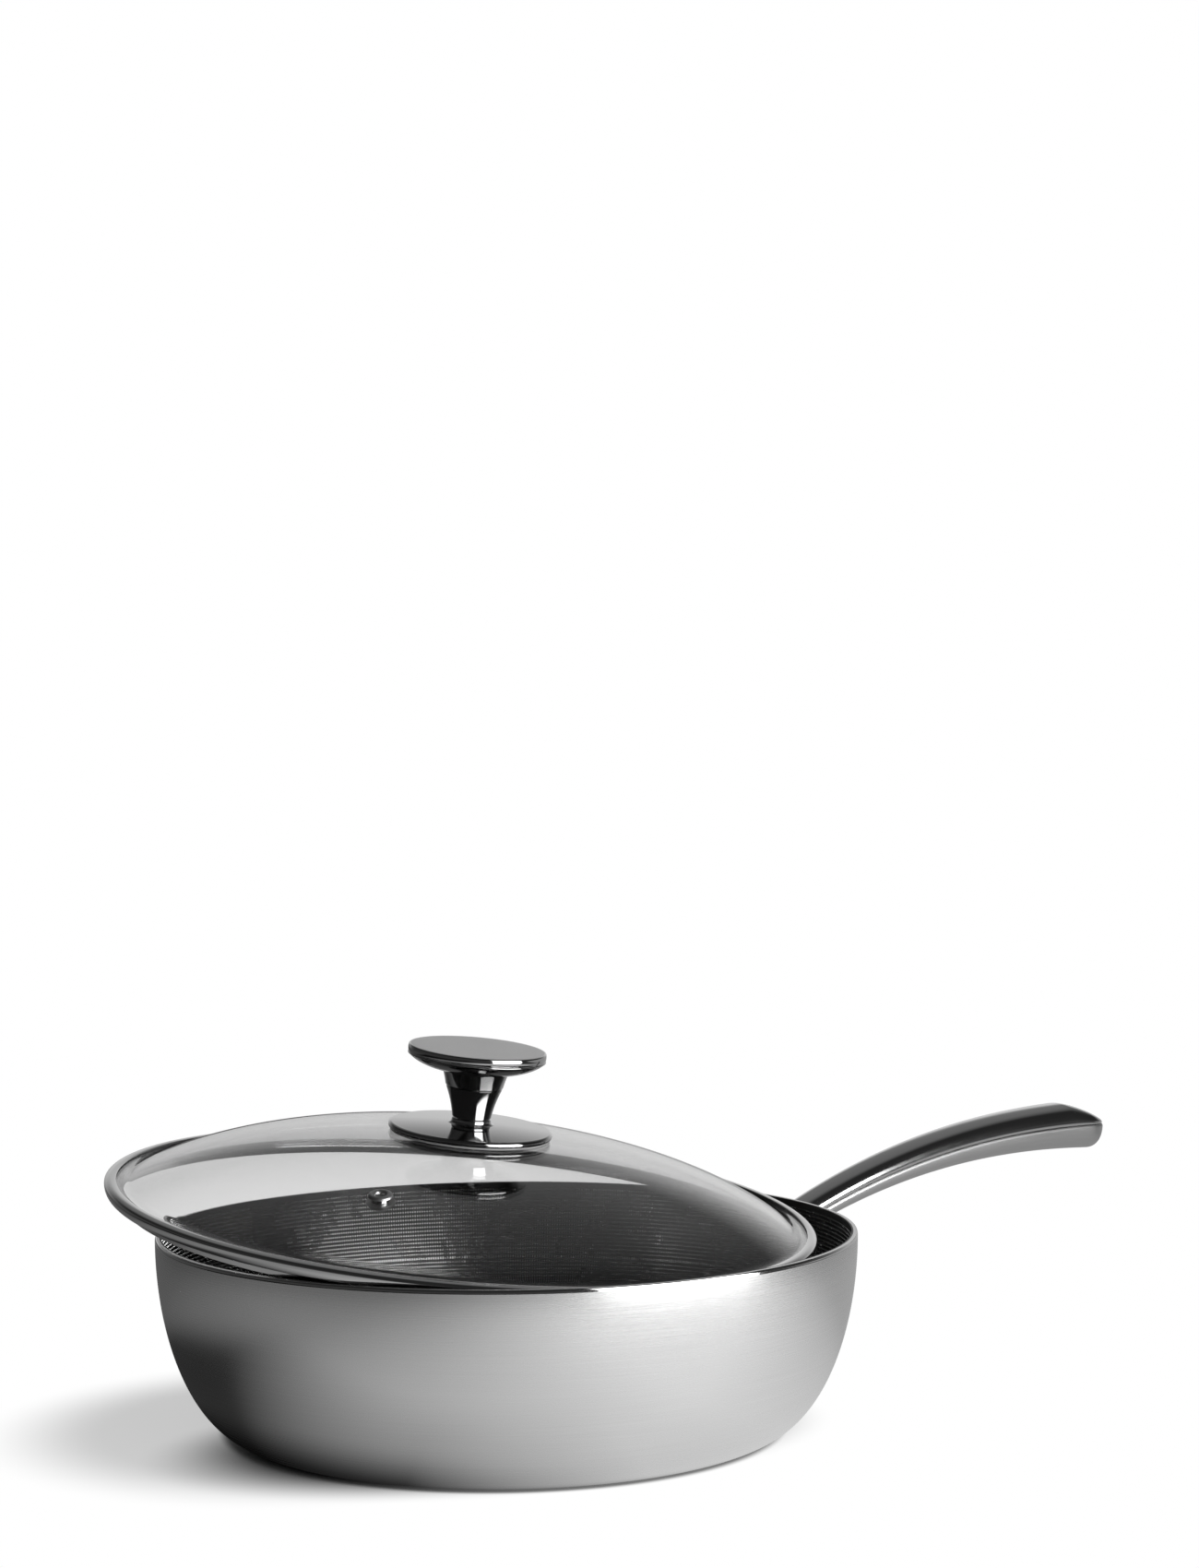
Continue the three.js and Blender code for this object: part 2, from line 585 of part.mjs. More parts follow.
const gasket = domedRing(SCREW_HOLE_RADIUS, GASKET_RADIUS, SEAT_GAP, GASKET_TOP);
const underGasketFoot = UNDER_GASKET_TOP - UNDER_GASKET_HEIGHT;
const underGasket = domedRing(SCREW_HOLE_RADIUS, UNDER_GASKET_RADIUS, underGasketFoot, UNDER_GASKET_TOP);
const washer = domedRing(SCREW_HOLE_RADIUS, WASHER_RADIUS, WASHER_TOP - WASHER_HEIGHT, WASHER_TOP);
const lid = new THREE.Group();
lid.add(
  piece("lid_glass", lidGlass(), clearGlass),
  piece("lid_band", lidBand(), polishedSteel),
  piece("knob_gasket", gasket, greySilicone),
  piece("knob_base", knobBase(), polishedSteel),
  piece("knob_stem", knobStem(), polishedSteel),
  piece("knob_cap", knobCap(), satinSteel),
  piece("knob_under_gasket", underGasket, greySilicone),
  piece("knob_washer", washer, satinSteel),
  piece("knob_screw", knobScrew(), polishedSteel),
  vent,
);
lid.rotation.set(0, TILT, LOW_SIDE, "ZYX");
lid.position.set(
  -LID_SHIFT * Math.cos(LOW_SIDE),
  -LID_SHIFT * Math.sin(LOW_SIDE),
  PAN_HEIGHT + lidRestHeight(),
);

const sautePan = new THREE.Group();
sautePan.add(pan, lid);

export default sautePan;
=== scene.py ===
from math import acos, asin, atan2, copysign, cos, degrees, dist, hypot, pi, radians, sin, sqrt, tan

import bmesh
import bpy
from mathutils import Matrix, Vector


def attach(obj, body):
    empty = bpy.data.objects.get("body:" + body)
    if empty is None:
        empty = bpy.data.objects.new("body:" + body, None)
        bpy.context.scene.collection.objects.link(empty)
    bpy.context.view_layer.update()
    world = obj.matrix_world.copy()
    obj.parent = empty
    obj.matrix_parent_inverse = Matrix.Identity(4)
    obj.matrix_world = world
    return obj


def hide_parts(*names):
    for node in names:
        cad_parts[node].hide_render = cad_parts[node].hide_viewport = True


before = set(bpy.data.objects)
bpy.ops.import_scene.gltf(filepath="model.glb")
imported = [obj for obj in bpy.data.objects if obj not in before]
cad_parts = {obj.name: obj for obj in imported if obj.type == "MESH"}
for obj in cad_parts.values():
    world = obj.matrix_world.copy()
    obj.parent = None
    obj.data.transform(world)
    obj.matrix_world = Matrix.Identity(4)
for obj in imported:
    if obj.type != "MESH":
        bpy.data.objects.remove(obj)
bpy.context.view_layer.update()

# Sizes in millimetres, as the solids have them
PAN_RADIUS = 122.0
PAN_HEIGHT = 69.0
BASE_RADIUS = 89.0
OUTER_SKIN = 0.6
CORE = 0.9
INNER_SKIN = 0.5
BOND_GAP = 0.05
HANDLE_LENGTH = 173.0
HANDLE_ROOT_DROP = 14.3
HANDLE_TIP_RISE = 14.3
HANDLE_ROOT_SLOPE = 0.437
HANDLE_TIP_SLOPE = -0.044
HANDLE_ROOT_WIDTH = 14.0
HANDLE_TIP_WIDTH = 24.0
HANDLE_ROOT_CROWN = 5.1
HANDLE_TIP_CROWN = 9.1
HANDLE_ROOT_KEEL = 4.4
HANDLE_TIP_KEEL = 10.5
HANDLE_SQUARENESS = 2.3
HANDLE_SHEET = 1.2
CROWN_TIP_LENGTH = 22.0
CROWN_TIP_BULGE = 1.25
KEEL_TIP_LENGTH = 7.0
PLAN_TIP_LENGTH = 13.0
SEAM_GAP = 0.3
SADDLE_SHEET = 1.5
LID_TILT = radians(6.55)
LID_DIRECTION = radians(-67.8)
LID_SHIFT = 18.6
LID_CLEARANCE = 0.7
BAND_SHEET = 0.5
SKIRT_DEPTH = 4.7
FLANGE_DEPTH = 1.8
LIP_RISE = 3.0
FLANGE_REACH = 6.3
LIP_OVERLAP = 1.5
GLASS_THICKNESS = 3.2
GLASS_RISE = 27.1
DOME_RADIUS = 340.0
CROWN_RADIUS = 80.6
GLASS_FLAT = 2.5
GLASS_SWEEP = 8.0
SEAT_GAP = 0.3
VENT_OFFSET = 0.1
VENT_DIRECTION = radians(-77.1)
VENT_BORE_RADIUS = 1.7
VENT_TUBE_WALL = 0.7
VENT_FLANGE_RADIUS = 4.2
VENT_FLANGE_HEIGHT = 0.8
VENT_WASHER_RADIUS = 4.8
VENT_WASHER_HEIGHT = 0.6
SCREW_RADIUS = 2.5
SCREW_HEAD_RADIUS = 4.6
SCREW_HEAD_HEIGHT = 2.6
SCREW_ENGAGEMENT = 5.0
GASKET_RADIUS = 28.3
GASKET_HEIGHT = 0.6
KNOB_BASE_RADIUS = 29.0
KNOB_BASE_EDGE = 1.8
KNOB_NECK_RADIUS = 6.9
KNOB_NECK_HEIGHT = 3.6
KNOB_NECK_FILLET = 1.4
STEM_HEIGHT = 10.8
STEM_TOP_RADIUS = 9.9
CAP_COLLAR_HEIGHT = 5.2
CAP_COLLAR_RADIUS = 11.6
CAP_RADIUS = 24.4
CAP_TAPER = 5.0
CAP_EDGE = 3.4
SPIGOT_RADIUS = 4.4
SPIGOT_LENGTH = 4.5
UNDER_GASKET_RADIUS = 11.0
UNDER_GASKET_HEIGHT = 1.2
WASHER_RADIUS = 10.0
WASHER_HEIGHT = 1.0

# Small forms that only the looks need, in millimetres and degrees
RIM_ROUND_WIDTH = 0.5
RIM_ROUND_HEIGHT = 1.3
DOT_PITCH = 1.45  # between rings
DOT_SPACING = 0.97  # along the topmost ring
FLOOR_DOT_SPACING = 1.1
FIRST_DOT_RING = 6.0
DOT_RADIUS = 0.37
DOT_TOP_SHARE = 0.62
DOT_HEIGHT = 0.13
DOT_MARGIN = 2.5  # plain coating below the rim
UPPER_TUCK = (0.7, 2.2)  # how far the shell's edge turns in at the seam, and over which height
LOWER_TUCK = (0.3, 1.0)
SEAM_END = 3.0  # the seam's gap closes over this length before the tip
BAND_FOLD = 0.35
ROLL_SHOULDER = 1.4  # from the widest part of the rolled edge up to its top
VENT_RING_FOOT = -0.25
VENT_RING_ARC = (12, 168)
GASKET_BULGE = 0.2  # how far the soft gasket fills the gap on each side
BASE_ROUND = 1.2
BASE_ROUND_ARC = (-20, 85)
BASE_TAPER = 0.3  # how far the edge draws in below its round
KNOB_CHAMFER = 0.25
STEM_SWELL = 0.8
COLLAR_SWELL = 0.5
CAP_BEAD = 0.3
CAP_GROOVE = (0.2, 2.2)  # depth of the groove over the bead, and its height in beads
CAP_SWELL = 0.15
CAP_SHOULDER = 0.1
CAP_ROUND = 0.5
CAP_FACE_EDGE = ((0.75, 0.02), (0.9, 0.0))  # how far in from the edge, and how far below the face
SCREW_ROUND = 0.9
SCREW_CHAMFER = 0.5
SCREW_KEY = 2.9
SCREW_KEY_DEPTH = 1.5

# How finely pieces are made
PAN_SEGMENTS = 288
LID_SEGMENTS = 256
KNOB_SEGMENTS = 160
STEM_SEGMENTS = 128
WASHER_SEGMENTS = 96
SMALL_SEGMENTS = 64
GLASS_STEPS = 64
DOME_STEPS = 16
ROLL_STEPS = 16
EVEN_STATIONS = (0.78, 90)  # share of the handle's length, and how many sections it has
TIP_STATIONS = (0.22, 60)
SAME_POINT = 1e-4
ON_AXIS = 1e-6

# Sizes that follow
WALL = OUTER_SKIN + BOND_GAP + CORE + BOND_GAP + INNER_SKIN
MOUTH_RADIUS = PAN_RADIUS - WALL
SKIRT_RADIUS = MOUTH_RADIUS - LID_CLEARANCE
ROLL_RADIUS = (LIP_RISE + FLANGE_DEPTH) / 2
ROLL_CENTRE = SKIRT_RADIUS + FLANGE_REACH - ROLL_RADIUS
GLASS_RADIUS = ROLL_CENTRE
EDGE_TOP = LIP_RISE - BAND_SHEET - SEAT_GAP
SWEEP_CENTRE = Vector((GLASS_RADIUS - GLASS_FLAT, EDGE_TOP + GLASS_SWEEP))
SCREW_HOLE_RADIUS = SCREW_RADIUS + SEAT_GAP
VENT_RADIUS = CROWN_RADIUS + VENT_OFFSET
DOME_CENTRE = GLASS_RISE - DOME_RADIUS
GASKET_TOP = SEAT_GAP + GASKET_HEIGHT
KNOB_BASE_UNDER = GASKET_TOP + SEAT_GAP
NECK_TOP = GLASS_RISE + KNOB_BASE_UNDER + KNOB_NECK_HEIGHT
STEM_FOOT = NECK_TOP + SEAT_GAP
STEM_TOP = STEM_FOOT + STEM_HEIGHT
COLLAR_FOOT = STEM_TOP + SEAT_GAP
UNDER_GLASS = -(GLASS_THICKNESS + SEAT_GAP)
WASHER_TOP = UNDER_GLASS - UNDER_GASKET_HEIGHT - SEAT_GAP
IN_METRES = Matrix.Scale(0.001, 4)


# Shader groups and materials


def set_inputs(tree, node, inputs):
    """Gives each input a link, where the value is a socket, or a plain value."""
    for key, value in inputs.items():
        if isinstance(value, bpy.types.NodeSocket):
            tree.links.new(value, node.inputs[key])
        else:
            node.inputs[key].default_value = value


def add_node(tree, kind, inputs=None, **settings):
    """Adds a node with its settings and inputs, and gives its outputs."""
    made = tree.nodes.new(kind)
    for name, value in settings.items():
        setattr(made, name, value)
    set_inputs(tree, made, inputs or {})
    return made.outputs


def calculate(tree, operation, a, b=0.5):
    return add_node(tree, "ShaderNodeMath", {0: a, 1: b}, operation=operation)[0]


def times(tree, a, b):
    return calculate(tree, "MULTIPLY", a, b)


def on_vectors(tree, operation, a, b=(0.0, 0.0, 0.0)):
    return add_node(tree, "ShaderNodeVectorMath", {0: a, 1: b}, operation=operation)


def turned_about_z(tree, vector, angle):
    inputs = {"Vector": vector, "Angle": angle}
    return add_node(tree, "ShaderNodeVectorRotate", inputs, rotation_type="Z_AXIS")[0]


def spread(tree, value, low, high, at=(0.0, 1.0)):
    """A value that runs from low to high while the given one crosses a range."""
    inputs = {"Value": value, "From Min": at[0], "From Max": at[1], "To Min": low, "To Max": high}
    return add_node(tree, "ShaderNodeMapRange", inputs)[0]


def between(tree, share, a, b):
    return add_node(tree, "ShaderNodeMix", {0: share, 2: a, 3: b})[0]


def two_greys(tree, share, dark, light):
    inputs = {0: share, 6: (dark, dark, dark, 1.0), 7: (light, light, light, 1.0)}
    return add_node(tree, "ShaderNodeMix", inputs, data_type="RGBA")[2]


def relief(tree, height, strength, depth):
    inputs = {"Height": height, "Strength": strength, "Distance": depth}
    return add_node(tree, "ShaderNodeBump", inputs)[0]


def new_group(name, inputs, outputs):
    group = bpy.data.node_groups.new(name, "ShaderNodeTree")
    new_socket = group.interface.new_socket
    for label, value in inputs.items():
        new_socket(label, in_out="INPUT", socket_type="NodeSocketFloat").default_value = value
    for label in outputs:
        new_socket(label, in_out="OUTPUT", socket_type="NodeSocketFloat")
    given = group.nodes.new("NodeGroupInput").outputs
    return group, given, group.nodes.new("NodeGroupOutput").inputs


def make_polishing_lines():
    """Fine lines that follow a piece's own attribute: its x and y run along them, its z across."""
    group, given, out = new_group("polishing_lines", {"Along": 1.0, "Across": 6.0}, ["Lines"])
    grain = add_node(group, "ShaderNodeAttribute", attribute_name="grain")["Vector"]
    step = {0: given["Along"], 1: given["Along"], 2: given["Across"]}
    step = add_node(group, "ShaderNodeCombineXYZ", step)[0]
    stretched = on_vectors(group, "MULTIPLY", grain, step)[0]
    inputs = {"Vector": stretched, "Scale": 1.0, "Detail": 4.0, "Roughness": 0.65}
    noise = add_node(group, "ShaderNodeTexNoise", inputs)
    group.links.new(spread(group, noise[0], 0.0, 1.0, (0.3, 0.7)), out["Lines"])
    return group


def make_handling_marks():
    """Soft cloudy marks of wiping and hands, and fine specks."""
    inputs = {"Clouds": 25.0, "Specks": 900.0}
    group, given, out = new_group("handling_marks", inputs, ["Cloud", "Speck"])
    place = add_node(group, "ShaderNodeTexCoord")["Object"]
    inputs = {"Vector": place, "Scale": given["Clouds"], "Detail": 5.0, "Roughness": 0.6, "Distortion": 0.8}
    cloud = add_node(group, "ShaderNodeTexNoise", inputs)
    inputs = {"Vector": place, "Scale": given["Specks"], "Detail": 2.0}
    speck = add_node(group, "ShaderNodeTexNoise", inputs)
    group.links.new(spread(group, cloud[0], 0.0, 1.0, (0.35, 0.7)), out["Cloud"])
    group.links.new(spread(group, speck[0], 0.0, 1.0, (0.3, 0.7)), out["Speck"])
    return group


LINE_TONES = (0.95, 1.03)  # of a steel's own tone, in and between its polishing lines
LINE_ROUGHNESS = (0.9, 1.12)
POLISHING_LINES = make_polishing_lines()
HANDLING_MARKS = make_handling_marks()


def placed_group(tree, group, **values):
    return add_node(tree, "ShaderNodeGroup", values, node_tree=group)


def new_material(name):
    material = bpy.data.materials.new(name)
    material.use_nodes = True
    return material, material.node_tree, material.node_tree.nodes["Principled BSDF"]


def steel(name, tone, roughness, along, across, depth, marks):
    """Bare steel: polishing lines along the grain, a little duller where it was wiped or touched."""
    material, tree, shader = new_material(name)
    lines = placed_group(tree, POLISHING_LINES, Along=along, Across=across)["Lines"]
    cloud = placed_group(tree, HANDLING_MARKS)["Cloud"]
    rough = spread(tree, lines, *(roughness * share for share in LINE_ROUGHNESS))
    set_inputs(tree, shader, {
        "Metallic": 1.0,
        "Base Color": two_greys(tree, lines, *(tone * share for share in LINE_TONES)),
        "Roughness": calculate(tree, "ADD", rough, times(tree, cloud, marks)),
        "Normal": relief(tree, lines, depth, 0.00005),
    })
    return material


def touched_finish(name, marks, tones, roughness, grain=None, dulled_by="Cloud", plain=None):
    """Finish whose tone and roughness change with handling marks, over a grain where it has one."""
    material, tree, shader = new_material(name)
    touched = placed_group(tree, HANDLING_MARKS, **marks)
    inputs = {
        "Base Color": two_greys(tree, touched["Cloud"], *tones),
        "Roughness": spread(tree, touched[dulled_by], *roughness),
    }
    if grain:
        inputs["Normal"] = relief(tree, touched["Speck"], *grain)
    set_inputs(tree, shader, inputs | (plain or {}))
    return material


# Tone, roughness, scale of the lines along and across, their depth, and how much marks dull them
SATIN_WALL = steel("satin_wall_steel", 0.68, 0.26, 2.0, 5.0, 0.05, 0.02)
POLISHED_RIM = steel("polished_rim_steel", 0.66, 0.07, 2.0, 9.0, 0.03, 0.02)
BARE_ALUMINIUM = steel("bare_aluminium", 0.8, 0.3, 2.0, 12.0, 0.1, 0.03)
HANDLE_TOP = steel("handle_top_steel", 0.6, 0.13, 0.02, 4.0, 0.04, 0.02)
HANDLE_UNDERSIDE = steel("handle_underside_satin", 0.52, 0.4, 0.02, 5.0, 0.2, 0.03)
BRACKET_SATIN = steel("bracket_satin_steel", 0.62, 0.36, 1.0, 4.0, 0.1, 0.04)
BAND_POLISHED = steel("band_polished_steel", 0.62, 0.08, 2.0, 8.0, 0.04, 0.03)
KNOB_POLISHED = steel("knob_polished_steel", 0.44, 0.06, 1.0, 8.0, 0.03, 0.02)
CAP_SATIN = steel("cap_satin_steel", 0.68, 0.32, 1.0, 9.0, 0.12, 0.03)
VENT_BRIGHT = steel("vent_bright_steel", 0.5, 0.36, 1.0, 8.0, 0.03, 0.03)
SCREW_PLAIN = steel("screw_plain_steel", 0.6, 0.22, 1.0, 8.0, 0.08, 0.06)
BLACK_COATING = touched_finish(
    "black_coating", {"Clouds": 18.0, "Specks": 700.0},
    tones=(0.008, 0.013), roughness=(0.36, 0.46), grain=(0.25, 0.00005))
DOT_STEEL = touched_finish(
    "dot_steel", {"Clouds": 40.0},
    tones=(0.58, 0.68), roughness=(0.24, 0.32), plain={"Metallic": 1.0})
CLEAR_GLASS = touched_finish(
    "clear_glass", {"Clouds": 22.0},
    tones=(0.835, 0.855), roughness=(0.0, 0.02), plain={"Transmission Weight": 1.0, "IOR": 1.5})
GREY_SILICONE = touched_finish(
    "grey_silicone", {"Clouds": 60.0, "Specks": 2500.0},
    tones=(0.19, 0.23), roughness=(0.55, 0.7), grain=(0.3, 0.00004), dulled_by="Speck")


# Mesh making


def in_scene(name, data):
    made = bpy.data.objects.new(name, data)
    bpy.context.scene.collection.objects.link(made)
    return made


def keep_result(piece, modifier):
    """Makes what a modifier gives the piece's own plain mesh."""
    graph = bpy.context.evaluated_depsgraph_get()
    result = bpy.data.meshes.new_from_object(piece.evaluated_get(graph))
    piece.modifiers.remove(modifier)
    piece.data = result


def set_grain(mesh, grain):
    """Keeps the direction that the polishing lines follow, one vector for each point."""
    kept = mesh.attributes.new("grain", "FLOAT_VECTOR", "POINT")
    kept.data.foreach_set("vector", [x for vector in grain for x in vector])


def piece_of(name, points, faces, finishes, slots, grain, place=Matrix(), sharp=35):
    """Piece from points in millimetres, placed in the part's frame, with its grain."""
    mesh = bpy.data.meshes.new(name)
    mesh.from_pydata(points, [], faces)
    for finish in finishes:
        mesh.materials.append(finish)
    mesh.polygons.foreach_set("material_index", slots)
    set_grain(mesh, grain)
    mesh.transform(IN_METRES @ place)
    form = bmesh.new()
    form.from_mesh(mesh)
    bmesh.ops.remove_doubles(form, verts=form.verts, dist=1e-7)
    bmesh.ops.dissolve_degenerate(form, edges=form.edges, dist=1e-8)
    bmesh.ops.recalc_face_normals(form, faces=form.faces)
    form.to_mesh(mesh)
    form.free()
    mesh.shade_smooth()
    mesh.set_sharp_from_angle(angle=radians(sharp))
    return in_scene(name, mesh)


def turned(name, strips, finishes, segments, place=Matrix(), sharp=35):
    """Body turned about its own axis. Each strip is a run of (radius, height) points and the number
    of its finish; together they close on themselves or at the axis."""
    outline, finish_at = [], []
    for run, finish in strips:
        for point in run:
            if not outline or dist(outline[-1], point) > SAME_POINT:
                outline.append(point)
                finish_at.append(finish)
            else:
                finish_at[-1] = finish
    on_axis = outline[0][0] < ON_AXIS and outline[-1][0] < ON_AXIS
    if not on_axis and dist(outline[0], outline[-1]) < SAME_POINT:
        outline.pop()
        finish_at.pop()
    points, grain, rings, length = [], [], [], 0.0
    for i, (radius, height) in enumerate(outline):
        length += dist(outline[i - 1], outline[i]) if i else 0.0
        count = 1 if radius < ON_AXIS else segments
        rings.append(range(len(points), len(points) + count))
        for k in range(count):
            turn = 2 * pi * k / segments
            points.append((radius * cos(turn), radius * sin(turn), height))
            grain.append((cos(turn), sin(turn), length))
    faces, slots = [], []
    for i in range(len(outline) - 1 if on_axis else len(outline)):
        low, high = rings[i], rings[(i + 1) % len(outline)]
        for k in range(segments):
            corners = [low[j % len(low)] for j in (k, k + 1)]
            corners += [high[j % len(high)] for j in (k + 1, k)]
            corners = list(dict.fromkeys(corners))
            if len(corners) > 2:
                faces.append(corners)
                slots.append(finish_at[i])
    return piece_of(name, points, faces, finishes, slots, grain, place, sharp)


def arc(centre, radius, start, end, steps):
    turns = [radians(start + (end - start) * i / steps) for i in range(steps + 1)]
    return [(centre[0] + radius * cos(t), centre[1] + radius * sin(t)) for t in turns]


def curve(start, bend, end, steps):
    """Points of a quadratic curve."""
    made = []
    for i in range(steps + 1):
        t = i / steps
        weights = ((1 - t) ** 2, 2 * t * (1 - t), t * t)
        knots = tuple(zip(weights, (start, bend, end)))
        made.append(tuple(sum(w * p[k] for w, p in knots) for k in range(2)))
    return made


def finished(piece, body, slot, *nodes):
    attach(piece, body)
    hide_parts(*nodes)


# Pan


def wall_point(share, depth):
    """Pan wall: a quarter ellipse from the flat base, at share 0, to the rim, at share 1, set
    inwards by depth."""
    angle = share * pi / 2
    swell = PAN_RADIUS - BASE_RADIUS
    normal = Vector((sin(angle) / swell, -cos(angle) / PAN_HEIGHT)).normalized()
    radius = BASE_RADIUS + swell * sin(angle) - depth * normal.x
    return (radius, PAN_HEIGHT * (1 - cos(angle)) - depth * normal.y)


def wall_line(depth, steps, until=1.0):
    return [wall_point(until * i / steps, depth) for i in range(steps + 1)]


def pan_line(depth, steps=56, until=1.0):
    """Base and wall from the middle to the rim."""
    base_steps = 8
    base = [(BASE_RADIUS * i / base_steps, depth) for i in range(base_steps)]
    return base + wall_line(depth, steps, until)


def clad_layer(name, depth, thickness, finish, steps=56):
    strips = [(pan_line(depth, steps), 0), (pan_line(depth + thickness, steps)[::-1], 0)]
    return turned(name, strips, [finish], PAN_SEGMENTS)


def make_pan():
    rounding_at = 2 / pi * acos(RIM_ROUND_HEIGHT / PAN_HEIGHT)
    rounding, steps = [], 8
    for i in range(steps + 1):
        turn = pi / 2 * i / steps
        rounding.append((
            PAN_RADIUS - RIM_ROUND_WIDTH * (1 - cos(turn)),
            PAN_HEIGHT - RIM_ROUND_HEIGHT * (1 - sin(turn)),
        ))
    strips = [(pan_line(0.0, until=rounding_at), 0), (rounding, 1), (pan_line(OUTER_SKIN)[::-1], 0)]
    skin = turned("pan_outer_skin_turned", strips, [SATIN_WALL, POLISHED_RIM], PAN_SEGMENTS, sharp=50)
    finished(skin, "pan", "pan_satin", "pan_outer_skin")
    depth = OUTER_SKIN + BOND_GAP
    core = clad_layer("pan_core_turned", depth, CORE, BARE_ALUMINIUM, steps=32)
    finished(core, "pan", "core", "pan_core")
    depth += CORE + BOND_GAP
    lining = clad_layer("pan_lining_turned", depth, INNER_SKIN, BLACK_COATING)
    finished(lining, "pan", "coating", "pan_inner_skin")


def make_dot_rows():
    """Node tree that sets raised dots in rings along a profile, square to the surface."""
    tree = bpy.data.node_groups.new("dot_rows", "GeometryNodeTree")
    tree.is_modifier = True
    new_socket = tree.interface.new_socket
    new_socket("Geometry", in_out="INPUT", socket_type="NodeSocketGeometry")
    for label in ("Pitch", "Spacing", "Meridians", "Radius", "Height"):
        new_socket(label, in_out="INPUT", socket_type="NodeSocketFloat")
    new_socket("Finish", in_out="INPUT", socket_type="NodeSocketMaterial")
    new_socket("Geometry", in_out="OUTPUT", socket_type="NodeSocketGeometry")
    given = tree.nodes.new("NodeGroupInput").outputs
    out = tree.nodes.new("NodeGroupOutput").inputs

    def stored(geometry, name, value, kind):
        inputs = {"Geometry": geometry, "Name": name, "Value": value}
        settings = {"data_type": kind, "domain": "POINT"}
        return add_node(tree, "GeometryNodeStoreNamedAttribute", inputs, **settings)[0]

    def read(name, kind):
        return add_node(tree, "GeometryNodeInputNamedAttribute", {"Name": name}, data_type=kind)[0]

    def parts_of(vector):
        return add_node(tree, "ShaderNodeSeparateXYZ", {0: vector})

    # One point for each ring, which keeps the profile's direction
    line = add_node(tree, "GeometryNodeMeshToCurve", {"Mesh": given["Geometry"]})
    inputs = {"Curve": line[0], "Length": given["Pitch"]}
    rows = add_node(tree, "GeometryNodeCurveToPoints", inputs, mode="LENGTH")
    points = stored(rows["Points"], "way", rows["Tangent"], "FLOAT_VECTOR")

    # As many points on each ring as its spacing asks for, or as there are meridians
    spot = parts_of(add_node(tree, "GeometryNodeInputPosition")[0])
    count = calculate(tree, "DIVIDE", spot["X"], given["Spacing"])
    count = calculate(tree, "ROUND", times(tree, count, 2 * pi))
    count = calculate(tree, "MAXIMUM", count, given["Meridians"])
    inputs = {"Geometry": points, "Amount": count}
    many = add_node(tree, "GeometryNodeDuplicateElements", inputs, domain="POINT")
    share = calculate(tree, "DIVIDE", many["Duplicate Index"], count)
    points = stored(many[0], "turn", times(tree, share, 2 * pi), "FLOAT")
    turn = read("turn", "FLOAT")
    cosine, sine = calculate(tree, "COSINE", turn), calculate(tree, "SINE", turn)

    def swung(reach, height):
        across = times(tree, reach, cosine)
        deep = times(tree, reach, sine)
        return add_node(tree, "ShaderNodeCombineXYZ", {0: across, 1: deep, 2: height})[0]

    inputs = {"Geometry": points, "Position": swung(spot["X"], spot["Z"])}
    points = add_node(tree, "GeometryNodeSetPosition", inputs)[0]

    # A dot on each, square to the surface
    way = parts_of(read("way", "FLOAT_VECTOR"))
    normal = swung(times(tree, way["Z"], -1.0), way["X"])
    upright = add_node(tree, "FunctionNodeAlignRotationToVector", {"Vector": normal}, axis="Z")
    dot = add_node(tree, "GeometryNodeMeshCone", {
        "Vertices": 4,
        "Radius Top": times(tree, given["Radius"], DOT_TOP_SHARE),
        "Radius Bottom": given["Radius"],
        "Depth": given["Height"],
    })
    made = add_node(tree, "GeometryNodeInstanceOnPoints", {
        "Points": points,
        "Instance": dot[0],
        "Rotation": upright[0],
    })
    made = add_node(tree, "GeometryNodeRealizeInstances", {"Geometry": made[0]})
    for name in ("way", "turn"):
        inputs = {"Geometry": made[0], "Name": name}
        made = add_node(tree, "GeometryNodeRemoveAttribute", inputs)
    inputs = {"Geometry": made[0], "Material": given["Finish"]}
    made = add_node(tree, "GeometryNodeSetMaterial", inputs)
    tree.links.new(made[0], out[0])
    return tree


def made_by_nodes(name, points, tree, values):
    """Piece that a node tree makes from a line of points in millimetres, as a plain mesh."""
    mesh = bpy.data.meshes.new(name)
    mesh.from_pydata(points, [(k, k + 1) for k in range(len(points) - 1)], [])
    mesh.transform(IN_METRES)
    made = in_scene(name, mesh)
    modifier = made.modifiers.new(name, "NODES")
    modifier.node_group = tree
    for socket in tree.interface.items_tree:
        if socket.item_type == "SOCKET" and socket.name in values:
            modifier[socket.identifier] = values[socket.name]
    keep_result(made, modifier)
    made.data.name = name
    return made


